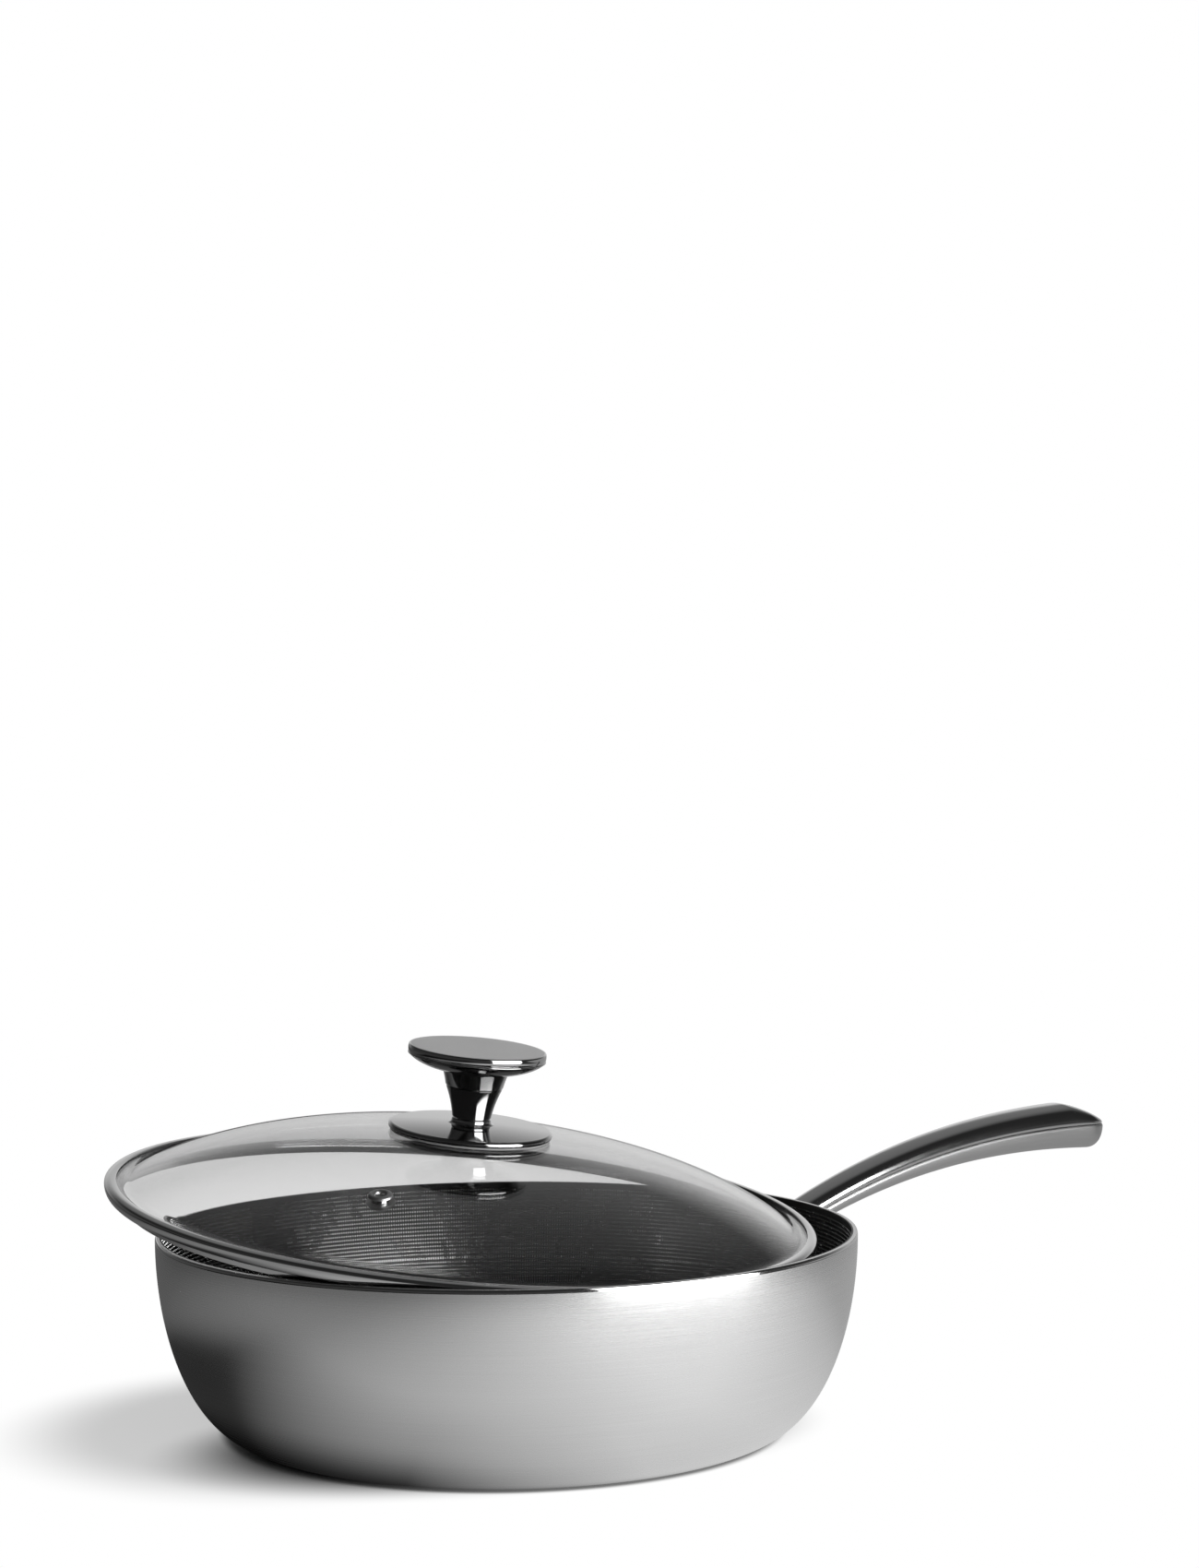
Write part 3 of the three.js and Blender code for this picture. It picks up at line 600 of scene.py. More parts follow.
def make_dots():
    """Raised steel dots of the lining, in rings on the floor and in three bands up the wall."""
    tree = make_dot_rows()
    on_floor = {
        "Pitch": DOT_PITCH / 1000,
        "Spacing": FLOOR_DOT_SPACING / 1000,
        "Meridians": 1.0,
        "Radius": DOT_RADIUS / 1000,
        "Height": DOT_HEIGHT / 1000,
        "Finish": DOT_STEEL,
    }
    meridians = round(2 * pi * MOUTH_RADIUS / DOT_SPACING)
    on_wall = on_floor | {"Spacing": DOT_SPACING / 1000, "Meridians": meridians}
    line = [(FIRST_DOT_RING, WALL), (BASE_RADIUS, WALL)] + wall_line(WALL, steps=240)[1:]
    line = [p for p in line if p[1] < PAN_HEIGHT - DOT_MARGIN]
    walked = [0.0]
    for a, b in zip(line, line[1:]):
        walked.append(walked[-1] + dist(a, b))
    floor_end, wall_bands = walked[1], 3
    rise = (walked[-1] - floor_end) / wall_bands
    bands = [(0.0, floor_end, on_floor)]
    for i in range(wall_bands):
        bands.append((floor_end + rise * i, floor_end + rise * (i + 1), on_wall))
    for i, (start, end, values) in enumerate(bands):
        run = [p for p, w in zip(line, walked) if start <= w <= end + 1e-6]
        points = [(radius, 0.0, height) for radius, height in run]
        dots = made_by_nodes(f"lining_dots_{i + 1}", points, tree, values)
        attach(dots, "pan")


# Handle


def limited(value):
    return min(max(value, 0.0), 1.0)


def seam_at(reach):
    """Point and direction of the handle's seam line, in the XZ plane, at a distance from the rim."""
    share = limited(reach / HANDLE_LENGTH)
    third = HANDLE_LENGTH / 3
    a = Vector((0, -HANDLE_ROOT_DROP))
    b = Vector((third, -HANDLE_ROOT_DROP + HANDLE_ROOT_SLOPE * third))
    c = Vector((2 * third, HANDLE_TIP_RISE - HANDLE_TIP_SLOPE * third))
    d = Vector((HANDLE_LENGTH, HANDLE_TIP_RISE))
    back = 1 - share
    point = back**3 * a + 3 * back * back * share * b + 3 * back * share * share * c + share**3 * d
    way = back * back * (b - a) + 2 * back * share * (c - b) + share * share * (d - c)
    before = min(reach, 0.0)
    x = PAN_RADIUS + point.x + before
    z = PAN_HEIGHT + point.y + before * HANDLE_ROOT_SLOPE
    return x, z, way.normalized()


def round_off(from_tip, length, bulge=2.0):
    into = limited(1 - from_tip / length)
    return (1 - into**bulge) ** (1 / bulge)


def handle_point(reach, angle, inset, tuck):
    """Point on the handle's section at a reach, for an angle from the seam on one side, over the
    crown, to the seam on the other."""
    share = limited(reach / HANDLE_LENGTH)
    from_tip = HANDLE_LENGTH - inset - reach

    def mixed(root, tip):
        return root + (tip - root) * share - inset

    def bent(value):
        return copysign(abs(value) ** (2 / HANDLE_SQUARENESS), value)

    half_width = (mixed(HANDLE_ROOT_WIDTH, HANDLE_TIP_WIDTH) - inset) / 2
    half_width *= round_off(from_tip, PLAN_TIP_LENGTH)
    rise = bent(sin(angle))
    if rise > 0:
        half_height = mixed(HANDLE_ROOT_CROWN, HANDLE_TIP_CROWN)
        half_height *= round_off(from_tip, CROWN_TIP_LENGTH, CROWN_TIP_BULGE)
    else:
        half_height = mixed(HANDLE_ROOT_KEEL, HANDLE_TIP_KEEL) * round_off(from_tip, KEEL_TIP_LENGTH)
    up = rise * half_height
    side = bent(cos(angle)) * half_width
    depth, height = tuck
    near_seam = max(0.0, 1 - abs(up) / height)
    full = min(1.0, half_width / (2 * height))
    side -= copysign(depth * full * near_seam**2, side) if abs(side) > depth else 0.0
    x, z, way = seam_at(reach)
    gap = copysign(SEAM_GAP / 2, sin(angle + 1e-9)) * min(1.0, from_tip / SEAM_END)
    up += gap * near_seam
    return (x - up * way.y, side, z + up * way.x)


def root_reach(angle, inset, tuck):
    """Reach at which a line along the handle leaves the bracket's saddle, found by halving."""
    low, high = -12.0, 12.0
    for _ in range(30):
        middle = (low + high) / 2
        x, y, z = handle_point(middle, angle, inset, tuck)
        lift = 1 - limited(z / PAN_HEIGHT)
        wall = BASE_RADIUS + (PAN_RADIUS - BASE_RADIUS) * sqrt(1 - lift * lift)
        if hypot(x, y) < wall + SEAT_GAP + SADDLE_SHEET:
            low = middle
        else:
            high = middle
    return high


def make_handle_shell(name, angles, tuck, finish):
    """One half of the hollow handle: outside, inside and the edge at the seam."""
    loop = [(angle, 0.0) for angle in angles] + [(angle, HANDLE_SHEET) for angle in reversed(angles)]
    even, steps = EVEN_STATIONS
    stations = [even * i / steps for i in range(steps)]
    crowded, steps = TIP_STATIONS
    stations += [even + crowded * sin(pi / 2 * i / steps) for i in range(steps + 1)]
    starts = [root_reach(angle, inset, tuck) for angle, inset in loop]
    points, grain = [], []
    for station in stations:
        for (angle, inset), start in zip(loop, starts):
            reach = start + (HANDLE_LENGTH - inset - start) * station
            points.append(handle_point(reach, angle, inset, tuck))
            grain.append((reach, 0.0, angle * HANDLE_ROOT_WIDTH / 2))
    count, half = len(loop), len(angles)
    faces = [[i, i + 1, count - 2 - i, count - 1 - i] for i in range(half - 1)]
    for k in range(len(stations) - 1):
        for i in range(count):
            a, b = k * count + i, k * count + (i + 1) % count
            faces.append([a, b, b + count, a + count])
    return piece_of(name, points, faces, [finish], [0] * len(faces), grain, sharp=40)


def make_handle():
    steps = 48
    ease = [0.5 - 0.5 * cos(pi * i / steps) for i in range(steps + 1)]
    upper = [pi * share for share in ease]
    lower = [pi + pi * share for share in ease]
    shell = make_handle_shell("handle_top_formed", upper, UPPER_TUCK, HANDLE_TOP)
    finished(shell, "pan", "handle_polished", "handle_upper_shell")
    shell = make_handle_shell("handle_underside_formed", lower, LOWER_TUCK, HANDLE_UNDERSIDE)
    finished(shell, "pan", "handle_satin", "handle_lower_shell")

    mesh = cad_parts["handle_bracket"].data.copy()
    bracket = in_scene("handle_bracket_formed", mesh)
    form = bmesh.new()
    form.from_mesh(mesh)
    bmesh.ops.remove_doubles(form, verts=form.verts, dist=1e-6)
    form.to_mesh(mesh)
    form.free()
    mesh.materials.clear()
    mesh.materials.append(BRACKET_SATIN)
    mesh.polygons.foreach_set("material_index", [0] * len(mesh.polygons))
    along, across = 30, 1000
    set_grain(mesh, [(v.co.y * along, 0.0, v.co.z * across) for v in mesh.vertices])
    mesh.shade_smooth()
    mesh.set_sharp_from_angle(angle=radians(40))
    finished(bracket, "pan", "bracket_satin", "handle_bracket")


# Lid


def lid_rest_height():
    """Height over the rim at which the tilted lid's hem and flange clear the rim all round."""
    height, steps = 0.0, 2880
    lean = Matrix.Rotation(LID_TILT, 3, "Y")
    for radius, depth in ((SKIRT_RADIUS, SKIRT_DEPTH), (ROLL_CENTRE, FLANGE_DEPTH)):
        for i in range(steps):
            turn = 2 * pi * i / steps
            point = lean @ Vector((radius * cos(turn), radius * sin(turn), -depth))
            from_axis = hypot(point.x - LID_SHIFT, point.y)
            if MOUTH_RADIUS - SEAT_GAP < from_axis < PAN_RADIUS + SEAT_GAP:
                height = max(height, SEAT_GAP - point.z)
    return height


def dome_height(radius, offset=0.0):
    return DOME_CENTRE + sqrt((DOME_RADIUS + offset) ** 2 - radius**2)


def dome_line(start, end, offset, steps=DOME_STEPS):
    radii = [start + (end - start) * i / steps for i in range(steps + 1)]
    return [(radius, dome_height(radius, offset)) for radius in radii]


LID_CENTRE = (
    -LID_SHIFT * cos(LID_DIRECTION),
    -LID_SHIFT * sin(LID_DIRECTION),
    PAN_HEIGHT + lid_rest_height(),
)
LID_PLACE = (
    Matrix.Translation(LID_CENTRE)
    @ Matrix.Rotation(LID_DIRECTION, 4, "Z")
    @ Matrix.Rotation(LID_TILT, 4, "Y")
)
VENT_CENTRE = (
    VENT_RADIUS * cos(VENT_DIRECTION),
    VENT_RADIUS * sin(VENT_DIRECTION),
    dome_height(VENT_RADIUS),
)
VENT_PLACE = (
    LID_PLACE
    @ Matrix.Translation(VENT_CENTRE)
    @ Matrix.Rotation(VENT_DIRECTION, 4, "Z")
    @ Matrix.Rotation(asin(VENT_RADIUS / DOME_RADIUS), 4, "Y")
)


def sweep_start():
    """Where the solid's shoulder meets the sweep at the glass's edge, and its normal's angle there."""
    start = Vector((CROWN_RADIUS, dome_height(CROWN_RADIUS)))
    normal = Vector((CROWN_RADIUS, start.y - DOME_CENTRE)).normalized()
    across = SWEEP_CENTRE - start
    radius = (across.length_squared - GLASS_SWEEP**2) / (2 * (GLASS_SWEEP - across.dot(normal)))
    away = (SWEEP_CENTRE - start + radius * normal).normalized()
    return SWEEP_CENTRE - GLASS_SWEEP * away, atan2(away.y, away.x)


def glass_face(depth):
    """One face of the glass from its hole to its edge. One even curve, in powers of the radius
    squared, stands for the solid's crown and shoulder."""
    end, normal = sweep_start()
    crown = (CROWN_RADIUS / end.x) ** 2
    at_crown, at_end = GLASS_RISE - dome_height(CROWN_RADIUS), GLASS_RISE - end.y
    lost = Vector((at_crown, at_end, end.x / tan(normal) / 2))
    powers = Matrix(((crown, crown**2, crown**3), (1, 1, 1), (1, 2, 3))).inverted() @ lost
    face = []
    for i in range(GLASS_STEPS + 1):
        radius = SCREW_HOLE_RADIUS + (end.x - SCREW_HOLE_RADIUS) * i / GLASS_STEPS
        share = (radius / end.x) ** 2
        height = GLASS_RISE - powers.dot((share, share**2, share**3))
        slope = 2 * radius / end.x**2 * powers.dot((1, 2 * share, 3 * share**2))
        inwards = depth * Vector((slope, 1.0)).normalized()
        face.append((max(radius - inwards.x, SCREW_HOLE_RADIUS), height - inwards.y))
    face += arc(SWEEP_CENTRE, GLASS_SWEEP + depth, degrees(normal) + 180, 270, steps=12)[1:]
    return face + [(GLASS_RADIUS, EDGE_TOP - depth)]


def cut_away(piece, radius, low, high, sides, place):
    """Cuts a prism, in millimetres, out of a piece."""
    turns = [2 * pi * i / sides for i in range(sides)]
    points = [(radius * cos(t), radius * sin(t), z) for z in (low, high) for t in turns]
    faces = [[i, (i + 1) % sides, sides + (i + 1) % sides, sides + i] for i in range(sides)]
    faces += [list(range(sides))[::-1], list(range(sides, 2 * sides))]
    mesh = bpy.data.meshes.new("tool")
    mesh.from_pydata(points, [], faces)
    mesh.transform(IN_METRES @ place)
    tool = in_scene("tool", mesh)
    modifier = piece.modifiers.new("cut", "BOOLEAN")
    modifier.operation, modifier.object, modifier.solver = "DIFFERENCE", tool, "EXACT"
    keep_result(piece, modifier)
    bpy.data.objects.remove(tool)


def lid_piece(name, outline, finish, segments, slot, node, place=LID_PLACE, sharp=35):
    """Turned piece of the lid with one finish, in place of a node."""
    finished(turned(name, [(outline, 0)], [finish], segments, place, sharp), "lid", slot, node)


def rolled_edge(depth):
    """The band's rolled edge from below to the top, widest near its top."""
    made = []
    for i in range(-ROLL_STEPS, ROLL_STEPS + 1):
        turn = pi / 2 * i / ROLL_STEPS
        half = ROLL_SHOULDER if i > 0 else LIP_RISE + FLANGE_DEPTH - ROLL_SHOULDER
        height = LIP_RISE - ROLL_SHOULDER + (half - depth) * sin(turn)
        made.append((ROLL_CENTRE + (ROLL_RADIUS - depth) * cos(turn), height))
    return made


def make_lid():
    outline = glass_face(GLASS_THICKNESS) + glass_face(0.0)[::-1]
    glass = turned("lid_glass_domed", [(outline, 0)], [CLEAR_GLASS], LID_SEGMENTS, LID_PLACE)
    bore = VENT_BORE_RADIUS + VENT_TUBE_WALL + SEAT_GAP
    cut_away(glass, bore, -2 * GLASS_THICKNESS, 2 * GLASS_THICKNESS, sides=32, place=VENT_PLACE)
    finished(glass, "lid", "clear_glass", "lid_glass")

    inside = SKIRT_RADIUS - BAND_SHEET
    edge = BAND_SHEET / 2
    fold = (SKIRT_RADIUS + BAND_FOLD, -FLANGE_DEPTH - BAND_FOLD)
    band = arc((inside + edge, edge - SKIRT_DEPTH), edge, 180, 360, steps=8)
    band += arc(fold, BAND_FOLD, 180, 90, steps=5)
    band += rolled_edge(0.0)
    band += arc((ROLL_CENTRE - LIP_OVERLAP + edge, LIP_RISE - edge), edge, 90, 270, steps=8)
    band += rolled_edge(BAND_SHEET)[::-1]
    band += arc(fold, BAND_FOLD + BAND_SHEET, 90, 180, steps=12)
    lid_piece("lid_band_rolled", band, BAND_POLISHED, LID_SEGMENTS, "band_polished", "lid_band", sharp=50)


def rounded_ring(inner, outer, low, high):
    """Outline of a flat ring with rounded edges."""
    edge = (high - low) / 4
    outline = arc((inner + edge, low + edge), edge, 180, 270, steps=4)
    outline += arc((outer - edge, low + edge), edge, 270, 360, steps=4)
    outline += arc((outer - edge, high - edge), edge, 0, 90, steps=4)
    return outline + arc((inner + edge, high - edge), edge, 90, 180, steps=4)


def domed_ring(outer, low, high):
    """Outline of a ring round the screw that follows the dome between two offsets, with a round
    outer edge."""
    edge = (high - low) / 2
    rim = (outer - edge, (dome_height(outer - edge, low) + dome_height(outer - edge, high)) / 2)
    lower = dome_line(SCREW_HOLE_RADIUS, outer - edge, low)
    upper = dome_line(SCREW_HOLE_RADIUS, outer - edge, high)
    return lower + arc(rim, edge, -75, 75, steps=8) + upper[::-1]


def make_vent():
    tube = VENT_BORE_RADIUS + VENT_TUBE_WALL
    under = -(GLASS_THICKNESS + SEAT_GAP + VENT_WASHER_HEIGHT + SEAT_GAP)
    flare = VENT_WASHER_RADIUS - VENT_TUBE_WALL
    middle = under - VENT_FLANGE_HEIGHT / 2
    eyelet = [(VENT_BORE_RADIUS, middle)]
    bend = (tube, under - VENT_FLANGE_HEIGHT)
    eyelet += curve((VENT_BORE_RADIUS, middle), bend, (flare, middle), steps=6)
    eyelet += [(flare, under), (tube, under), (tube, SEAT_GAP)]
    ring = (VENT_FLANGE_RADIUS - VENT_BORE_RADIUS) / 2
    eyelet += arc((VENT_BORE_RADIUS + ring, SEAT_GAP + VENT_RING_FOOT), ring, *VENT_RING_ARC, steps=24)
    lid_piece("vent_eyelet_flared", eyelet, VENT_BRIGHT, SMALL_SEGMENTS,
              "vent_steel", "vent_eyelet", VENT_PLACE)

    low = UNDER_GLASS - VENT_WASHER_HEIGHT
    washer = rounded_ring(tube + SEAT_GAP, VENT_WASHER_RADIUS, low, UNDER_GLASS)
    lid_piece("vent_washer_rounded", washer, VENT_BRIGHT, SMALL_SEGMENTS,
              "vent_steel", "vent_washer", VENT_PLACE)


# Knob


def make_gasket():
    gasket = domed_ring(GASKET_RADIUS, SEAT_GAP - GASKET_BULGE, GASKET_TOP + GASKET_BULGE)
    lid_piece("knob_gasket_moulded", gasket, GREY_SILICONE, STEM_SEGMENTS, "silicone", "knob_gasket")


def make_knob_base():
    disc_top = KNOB_BASE_UNDER + KNOB_BASE_EDGE
    fillet_from = KNOB_NECK_RADIUS + KNOB_NECK_FILLET
    fillet_centre = (fillet_from, dome_height(fillet_from, disc_top) + KNOB_NECK_FILLET)
    round_from = KNOB_BASE_RADIUS - BASE_ROUND
    round_centre = (round_from, dome_height(round_from, disc_top) - BASE_ROUND)
    base = dome_line(SCREW_HOLE_RADIUS, KNOB_BASE_RADIUS - BASE_TAPER, KNOB_BASE_UNDER)
    base += arc(round_centre, BASE_ROUND, *BASE_ROUND_ARC, steps=24)
    base += dome_line(round_from, fillet_from, disc_top, steps=24)
    base += arc(fillet_centre, KNOB_NECK_FILLET, 268, 180, steps=12)
    base += [(KNOB_NECK_RADIUS, NECK_TOP - KNOB_CHAMFER), (KNOB_NECK_RADIUS - KNOB_CHAMFER, NECK_TOP)]
    base += [(SCREW_HOLE_RADIUS, NECK_TOP)]
    lid_piece("knob_base_flared", base, KNOB_POLISHED, KNOB_SEGMENTS, "knob_polished", "knob_base", sharp=30)


def make_knob_stem():
    hole_top = STEM_FOOT + SCREW_ENGAGEMENT + SEAT_GAP
    socket = SPIGOT_RADIUS + SEAT_GAP
    socket_floor = COLLAR_FOOT - SPIGOT_LENGTH - SEAT_GAP
    stem = [(0.0, hole_top), (SCREW_HOLE_RADIUS, hole_top), (SCREW_HOLE_RADIUS, STEM_FOOT)]
    stem += [(KNOB_NECK_RADIUS - KNOB_CHAMFER, STEM_FOOT)]
    foot = (KNOB_NECK_RADIUS, STEM_FOOT + KNOB_CHAMFER)
    waist = (KNOB_NECK_RADIUS + STEM_SWELL, STEM_FOOT + STEM_HEIGHT / 2)
    stem += curve(foot, waist, (STEM_TOP_RADIUS, STEM_TOP - KNOB_CHAMFER), steps=32)
    stem += [(STEM_TOP_RADIUS - KNOB_CHAMFER, STEM_TOP), (socket, STEM_TOP)]
    stem += [(socket, socket_floor), (0.0, socket_floor)]
    lid_piece("knob_stem_waisted", stem, KNOB_POLISHED, STEM_SEGMENTS, "knob_polished", "knob_stem", sharp=30)


def make_knob_cap():
    collar_top = COLLAR_FOOT + CAP_COLLAR_HEIGHT
    edge_foot = collar_top + CAP_TAPER
    top = edge_foot + CAP_EDGE
    foot = STEM_TOP_RADIUS + SEAT_GAP
    spigot_foot = COLLAR_FOOT - SPIGOT_LENGTH
    under = [(0.0, spigot_foot), (SPIGOT_RADIUS, spigot_foot), (SPIGOT_RADIUS, COLLAR_FOOT)]
    under += [(foot - KNOB_CHAMFER, COLLAR_FOOT)]
    bend = (foot + COLLAR_SWELL, COLLAR_FOOT + CAP_COLLAR_HEIGHT / 2)
    collar_edge = (CAP_COLLAR_RADIUS, collar_top)
    under += curve((foot, COLLAR_FOOT + KNOB_CHAMFER), bend, collar_edge, steps=12)
    bend = (CAP_RADIUS - CAP_EDGE, collar_top + CAP_TAPER / 3)
    under += curve(collar_edge, bend, (CAP_RADIUS - CAP_BEAD, edge_foot), steps=24)
    under += arc((CAP_RADIUS - CAP_BEAD, edge_foot + CAP_BEAD), CAP_BEAD, -60, 70, steps=8)
    groove = (CAP_RADIUS - CAP_GROOVE[0], edge_foot + CAP_GROOVE[1] * CAP_BEAD)
    bend = (CAP_RADIUS + CAP_SWELL, edge_foot + CAP_EDGE / 2)
    side = curve(groove, bend, (CAP_RADIUS - CAP_SHOULDER, top - CAP_ROUND), steps=10)
    round_centre = (CAP_RADIUS - (CAP_SHOULDER + CAP_ROUND), top - CAP_ROUND)
    side += arc(round_centre, CAP_ROUND, 0, 70, steps=6)
    face = [(CAP_RADIUS - inset, top - drop) for inset, drop in CAP_FACE_EDGE]
    rings = 10
    face += [(CAP_RADIUS * i / rings, top) for i in range(rings - 1, -1, -1)]
    strips, finishes = [(under, 0), (side, 0), (face, 1)], [KNOB_POLISHED, CAP_SATIN]
    cap = turned("knob_cap_turned", strips, finishes, KNOB_SEGMENTS, LID_PLACE, sharp=25)
    finished(cap, "lid", "knob_satin", "knob_cap")


def make_fixings():
    """What holds the knob from below: silicone washer, steel washer and screw."""
    ring = domed_ring(UNDER_GASKET_RADIUS, UNDER_GLASS - UNDER_GASKET_HEIGHT, UNDER_GLASS)
    lid_piece("knob_under_gasket_moulded", ring, GREY_SILICONE, WASHER_SEGMENTS,
              "silicone", "knob_under_gasket")
    ring = domed_ring(WASHER_RADIUS, WASHER_TOP - WASHER_HEIGHT, WASHER_TOP)
    lid_piece("knob_washer_rounded", ring, SCREW_PLAIN, WASHER_SEGMENTS, "screw_steel", "knob_washer")

    head_top = dome_height(SCREW_HEAD_RADIUS, WASHER_TOP - WASHER_HEIGHT) - SEAT_GAP
    head_foot = head_top - SCREW_HEAD_HEIGHT
    end = STEM_FOOT + SCREW_ENGAGEMENT
    round_centre = (SCREW_HEAD_RADIUS - SCREW_ROUND, head_foot + SCREW_ROUND)
    screw = [(0.0, head_foot)] + arc(round_centre, SCREW_ROUND, 270, 360, steps=8)
    screw += [(SCREW_HEAD_RADIUS, head_top), (SCREW_RADIUS, head_top), (SCREW_RADIUS, end - SCREW_CHAMFER)]
    screw += [(SCREW_RADIUS - SCREW_CHAMFER, end), (0.0, end)]
    screw = turned("knob_screw_turned", [(screw, 0)], [SCREW_PLAIN], SMALL_SEGMENTS, LID_PLACE)
    key = SCREW_KEY / sqrt(3)
    cut_away(screw, key, head_foot - 1, head_foot + SCREW_KEY_DEPTH, sides=6, place=LID_PLACE)
    finished(screw, "lid", "screw_steel", "knob_screw")


# Studio. Its places are given as seen from the camera: right, away and up from the middle of the
# pan's base, in metres.

CAMERA_TURN = radians(-37.0)
FROM_CAMERA = Matrix.Rotation(CAMERA_TURN, 4, "Z")
CAMERA_PLACE = (0.032789, -1.00642, 0.22958)
CAMERA_DIP = 0.00566446
CAMERA_ROLL = -0.00434248
FOCAL_LENGTH = 66.134
MIDDLE = (0.0, 0.0, 0.0)
EVERY_WAY = (1.0, 1.0, 1.0)

# Lamps: place, target, size, power, and whether steel and glass mirror them
LAMPS = {
    "tall_softbox": ((0.485, -0.353, 0.25), (0.0, 0.0, 0.25), (0.585, 0.5), 5.7, True),
    "broad_right": ((0.75, 0.45, 0.55), (0.0, 0.0, 0.03), (1.0, 0.8), 7.0, False),
    "front_fill": ((0.1, -0.9, 0.8), MIDDLE, (1.2, 0.8), 9.0, False),
    "overhead_fill": ((0.0, 0.0, 1.3), MIDDLE, (1.2, 1.2), 3.0, False),
}

# The room that steel mirrors: where its parts lie, and their levels over a range
BACKDROP_WAY = (0.1, 1.0, 0.2)
BACKDROP_EDGE = (0.0, 1.0, (0.45, 1.0))
BACKDROP_CURVE = 2.5
BACKDROP_TOP = (1.0, 0.06, (0.22, 0.42))
BACKDROP_LEVELS = (0.025, 0.75)
PANEL_WAY = (0.0, 0.7, 0.7)
PANEL = (0.0, 0.16, (0.8, 0.95))
HAZE = (0.035, 0.0, (0.1, 0.35))
ROOM_LIGHT = 0.12  # on matt surfaces

# Painted shadow on the table: the reach over which each round part fades out, and its level in the middle
LONG_SHADE = {"centre": (-0.0043, -0.0161, 0.0), "fade": (0.0793, 0.1265)}
LONG_SHADE |= {"stretch": (1.0, 1.53, 1.0), "turn": -0.443}
ROUND_SHADE = {"centre": (-0.072, -0.0009, 0.0), "fade": (0.0676, 0.1155)}
ROUND_SHADE_LEVEL = 0.55
BASE_SHADE = {"centre": (-0.0018, 0.003, 0.0), "fade": (0.0955, 0.1)}
BASE_SHADE_LEVEL = 0.13
TABLE_GREY = 0.2  # the table's diffuse colour, kept dark for the painted shadow, where that shadow covers its white
TABLE_DROP = 0.0003

# The same table as the wall mirrors it, painted with light and shade: fades as above, and two levels over a
# range of places
LEFT_BASE_SHADE = {"centre": (-0.012, 0.0, 0.0), "fade": (0.088, 0.115)}
LEFT_BASE_LEVEL = 0.1
RIGHT_BASE_SHADE = {"centre": MIDDLE, "fade": (0.089, 0.097)}
RIGHT_BASE_LEVEL = 0.35
SHADE_END = {"centre": MIDDLE, "fade": (0.17, 0.25)}
FAR_TABLE = {"centre": MIDDLE, "fade": (0.35, 0.6)}
LEFT_FALL = (1.0, 0.08, (-0.15, -0.055))
PAST_SHADE_FALL = (1.0, 0.4, (-0.15, 0.15))
RIGHT_FALL = (1.0, 0.43, (-0.11, 0.1))
LEFT_TO_RIGHT = (0.0, 1.0, (-0.03, 0.05))
LIGHT_ACROSS = (0.0, 1.0, (-0.2, 0.1))
LIGHT_CURVE = 1.3
LIGHT_LEVELS = (0.3, 1.0)
FAR_RISE = (0.05, 0.45, (0.15, 0.45))
FAR_ACROSS = (0.2, 1.0, (-0.45, 0.0))


def make_camera():
    lens = bpy.data.cameras.new("camera")
    lens.lens = FOCAL_LENGTH
    lens.sensor_width = 36.0
    lens.clip_start, lens.clip_end = 0.01, 100.0
    camera = in_scene("camera", lens)
    aim = Matrix.Rotation(pi / 2 - CAMERA_DIP, 4, "X") @ Matrix.Rotation(CAMERA_ROLL, 4, "Z")
    camera.matrix_world = FROM_CAMERA @ Matrix.Translation(CAMERA_PLACE) @ aim
    bpy.context.scene.camera = camera


def make_lamp(name, place, target, size, power, seen):
    lamp = bpy.data.lights.new(name, "AREA")
    lamp.shape = "RECTANGLE"
    lamp.size, lamp.size_y = size
    lamp.energy = power
    made = in_scene(name, lamp)
    place, target = FROM_CAMERA @ Vector(place), FROM_CAMERA @ Vector(target)
    made.location = place
    made.rotation_euler = (target - place).to_track_quat("-Z", "Y").to_euler()
    made.visible_camera = False
    made.visible_transmission = seen
    made.visible_glossy = seen


def straight_view(tree, ray):
    """1 for what the camera sees directly or straight through the glass, 0 for mirror images and
    light."""
    mirrored = calculate(tree, "ADD", ray["Glossy Depth"], ray["Diffuse Depth"])
    direct = calculate(tree, "LESS_THAN", mirrored, 0.5)
    through = times(tree, ray["Is Transmission Ray"], direct)
    return calculate(tree, "MAXIMUM", ray["Is Camera Ray"], through)


def distance_share(tree, place, centre, fade, stretch=EVERY_WAY, turn=0.0):
    """0 to 1 for a place whose turned and stretched distance from a centre crosses a range."""
    offset = turned_about_z(tree, on_vectors(tree, "SUBTRACT", place, centre)[0], turn)
    reach = on_vectors(tree, "LENGTH", on_vectors(tree, "MULTIPLY", offset, stretch)[0])["Value"]
    inputs = {"Value": reach, "From Min": fade[0], "From Max": fade[1]}
    return add_node(tree, "ShaderNodeMapRange", inputs, interpolation_type="SMOOTHSTEP")[0]


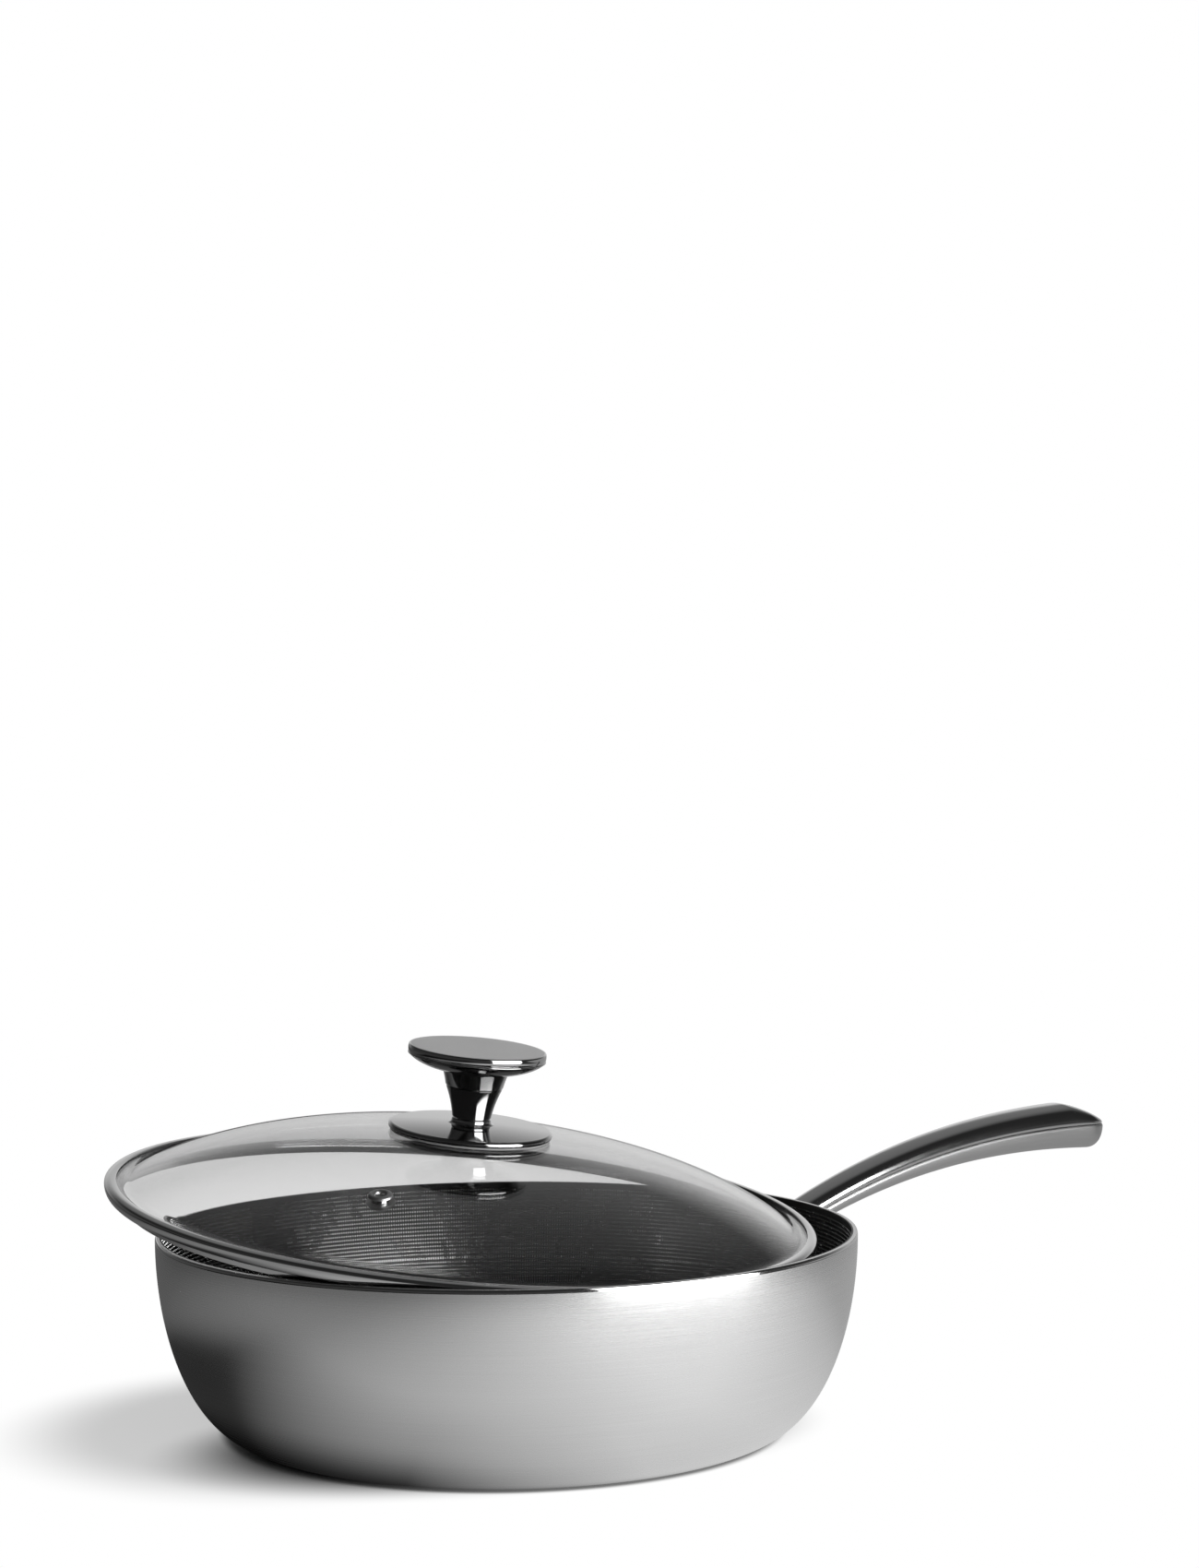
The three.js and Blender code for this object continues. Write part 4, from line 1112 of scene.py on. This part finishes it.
def table_in_steel(tree, place):
    """How bright the table glows in the steel, as painted light and painted shade: white to the right,
    in the pan's painted shade to the left, dim far away."""
    spot = add_node(tree, "ShaderNodeSeparateXYZ", {0: place})
    x, y = spot["X"], spot["Y"]
    left = spread(tree, y, *LEFT_FALL)
    past_shade = distance_share(tree, place, **SHADE_END)
    past_shade = times(tree, past_shade, spread(tree, y, *PAST_SHADE_FALL))
    left = calculate(tree, "MAXIMUM", left, past_shade)
    contact = spread(tree, distance_share(tree, place, **LEFT_BASE_SHADE), LEFT_BASE_LEVEL, 1.0)
    left = times(tree, left, contact)
    contact = spread(tree, distance_share(tree, place, **RIGHT_BASE_SHADE), RIGHT_BASE_LEVEL, 1.0)
    right = times(tree, spread(tree, y, *RIGHT_FALL), contact)
    near = between(tree, spread(tree, x, *LEFT_TO_RIGHT), left, right)
    light = calculate(tree, "POWER", spread(tree, x, *LIGHT_ACROSS), LIGHT_CURVE)
    near = times(tree, near, spread(tree, light, *LIGHT_LEVELS))
    far = times(tree, spread(tree, y, *FAR_RISE), spread(tree, x, *FAR_ACROSS))
    return between(tree, distance_share(tree, place, **FAR_TABLE), near, far)


def painted_pan_shade(tree, place):
    """The pan's soft shadow, painted on the table: a long one to the left, a round one within it
    and a thin dark line at the base."""
    shade = distance_share(tree, place, **LONG_SHADE)
    for part, level in ((ROUND_SHADE, ROUND_SHADE_LEVEL), (BASE_SHADE, BASE_SHADE_LEVEL)):
        part = spread(tree, distance_share(tree, place, **part), level, 1.0)
        shade = times(tree, shade, part)
    return shade


def make_floor():
    """White table: the camera sees it white but for a painted shadow, and the steel sees a painted map of its
    light and shade.
    """
    mesh = bpy.data.meshes.new("floor")
    form = bmesh.new()
    bmesh.ops.create_grid(form, x_segments=1, y_segments=1, size=6.0)
    form.to_mesh(mesh)
    form.free()
    mesh.transform(Matrix.Translation((0, 0, -TABLE_DROP)))
    floor = in_scene("floor", mesh)
    material, tree, shader = new_material("white_table")
    tree.nodes.remove(shader)
    colour = (TABLE_GREY, TABLE_GREY, TABLE_GREY, 1.0)
    table = add_node(tree, "ShaderNodeBsdfDiffuse", {"Color": colour})[0]
    inputs = {"Color": (1.0, 1.0, 1.0, 1.0), "Strength": 1.0}
    white = add_node(tree, "ShaderNodeEmission", inputs)[0]
    ray = add_node(tree, "ShaderNodeLightPath")
    place = add_node(tree, "ShaderNodeTexCoord")["Object"]
    place = turned_about_z(tree, place, -CAMERA_TURN)
    shown = straight_view(tree, ray)
    mirrored = times(tree, ray["Is Glossy Ray"], calculate(tree, "SUBTRACT", 1.0, shown))
    # Painted shadow: inside it the camera's white gives way to the table's dark grey
    shown = times(tree, shown, painted_pan_shade(tree, place))
    # The steel mirrors a painted glow of light and shade here, not the lamps' light on the table
    painted_table_glow = add_node(tree, "ShaderNodeEmission", {"Strength": table_in_steel(tree, place)})[0]
    surface = add_node(tree, "ShaderNodeMixShader", {0: shown, 1: table, 2: white})[0]
    surface = add_node(tree, "ShaderNodeMixShader", {0: mirrored, 1: surface, 2: painted_table_glow})[0]
    tree.links.new(surface, tree.nodes["Material Output"].inputs["Surface"])
    mesh.materials.append(material)


def make_world():
    """White for the camera and through the glass. Steel sees a pale backdrop behind the object, a
    panel above it, haze low down and a dark room elsewhere."""
    world = bpy.data.worlds.new("studio")
    bpy.context.scene.world = world
    world.use_nodes = True
    tree = world.node_tree
    ray = add_node(tree, "ShaderNodeLightPath")
    way = add_node(tree, "ShaderNodeTexCoord")["Generated"]

    def facing(target):
        target = tuple(FROM_CAMERA @ Vector(target).normalized())
        return on_vectors(tree, "DOT_PRODUCT", way, target)["Value"]

    height = add_node(tree, "ShaderNodeSeparateXYZ", {0: way})["Z"]
    behind = spread(tree, facing(BACKDROP_WAY), *BACKDROP_EDGE)
    behind = calculate(tree, "POWER", behind, BACKDROP_CURVE)
    behind = times(tree, behind, spread(tree, height, *BACKDROP_TOP))
    glow = spread(tree, behind, *BACKDROP_LEVELS)
    glow = calculate(tree, "ADD", glow, spread(tree, facing(PANEL_WAY), *PANEL))
    glow = calculate(tree, "ADD", glow, spread(tree, height, *HAZE))
    level = between(tree, ray["Is Glossy Ray"], ROOM_LIGHT, glow)
    level = between(tree, straight_view(tree, ray), level, 1.0)
    inputs = {"Color": (1.0, 1.0, 1.0, 1.0), "Strength": level}
    set_inputs(tree, tree.nodes["Background"], inputs)


make_pan()
make_dots()
make_handle()
make_lid()
make_vent()
make_gasket()
make_knob_base()
make_knob_stem()
make_knob_cap()
make_fixings()
make_camera()
make_floor()
make_world()
for name, values in LAMPS.items():
    make_lamp(name, *values)
bpy.context.scene.view_settings.view_transform = "Standard"
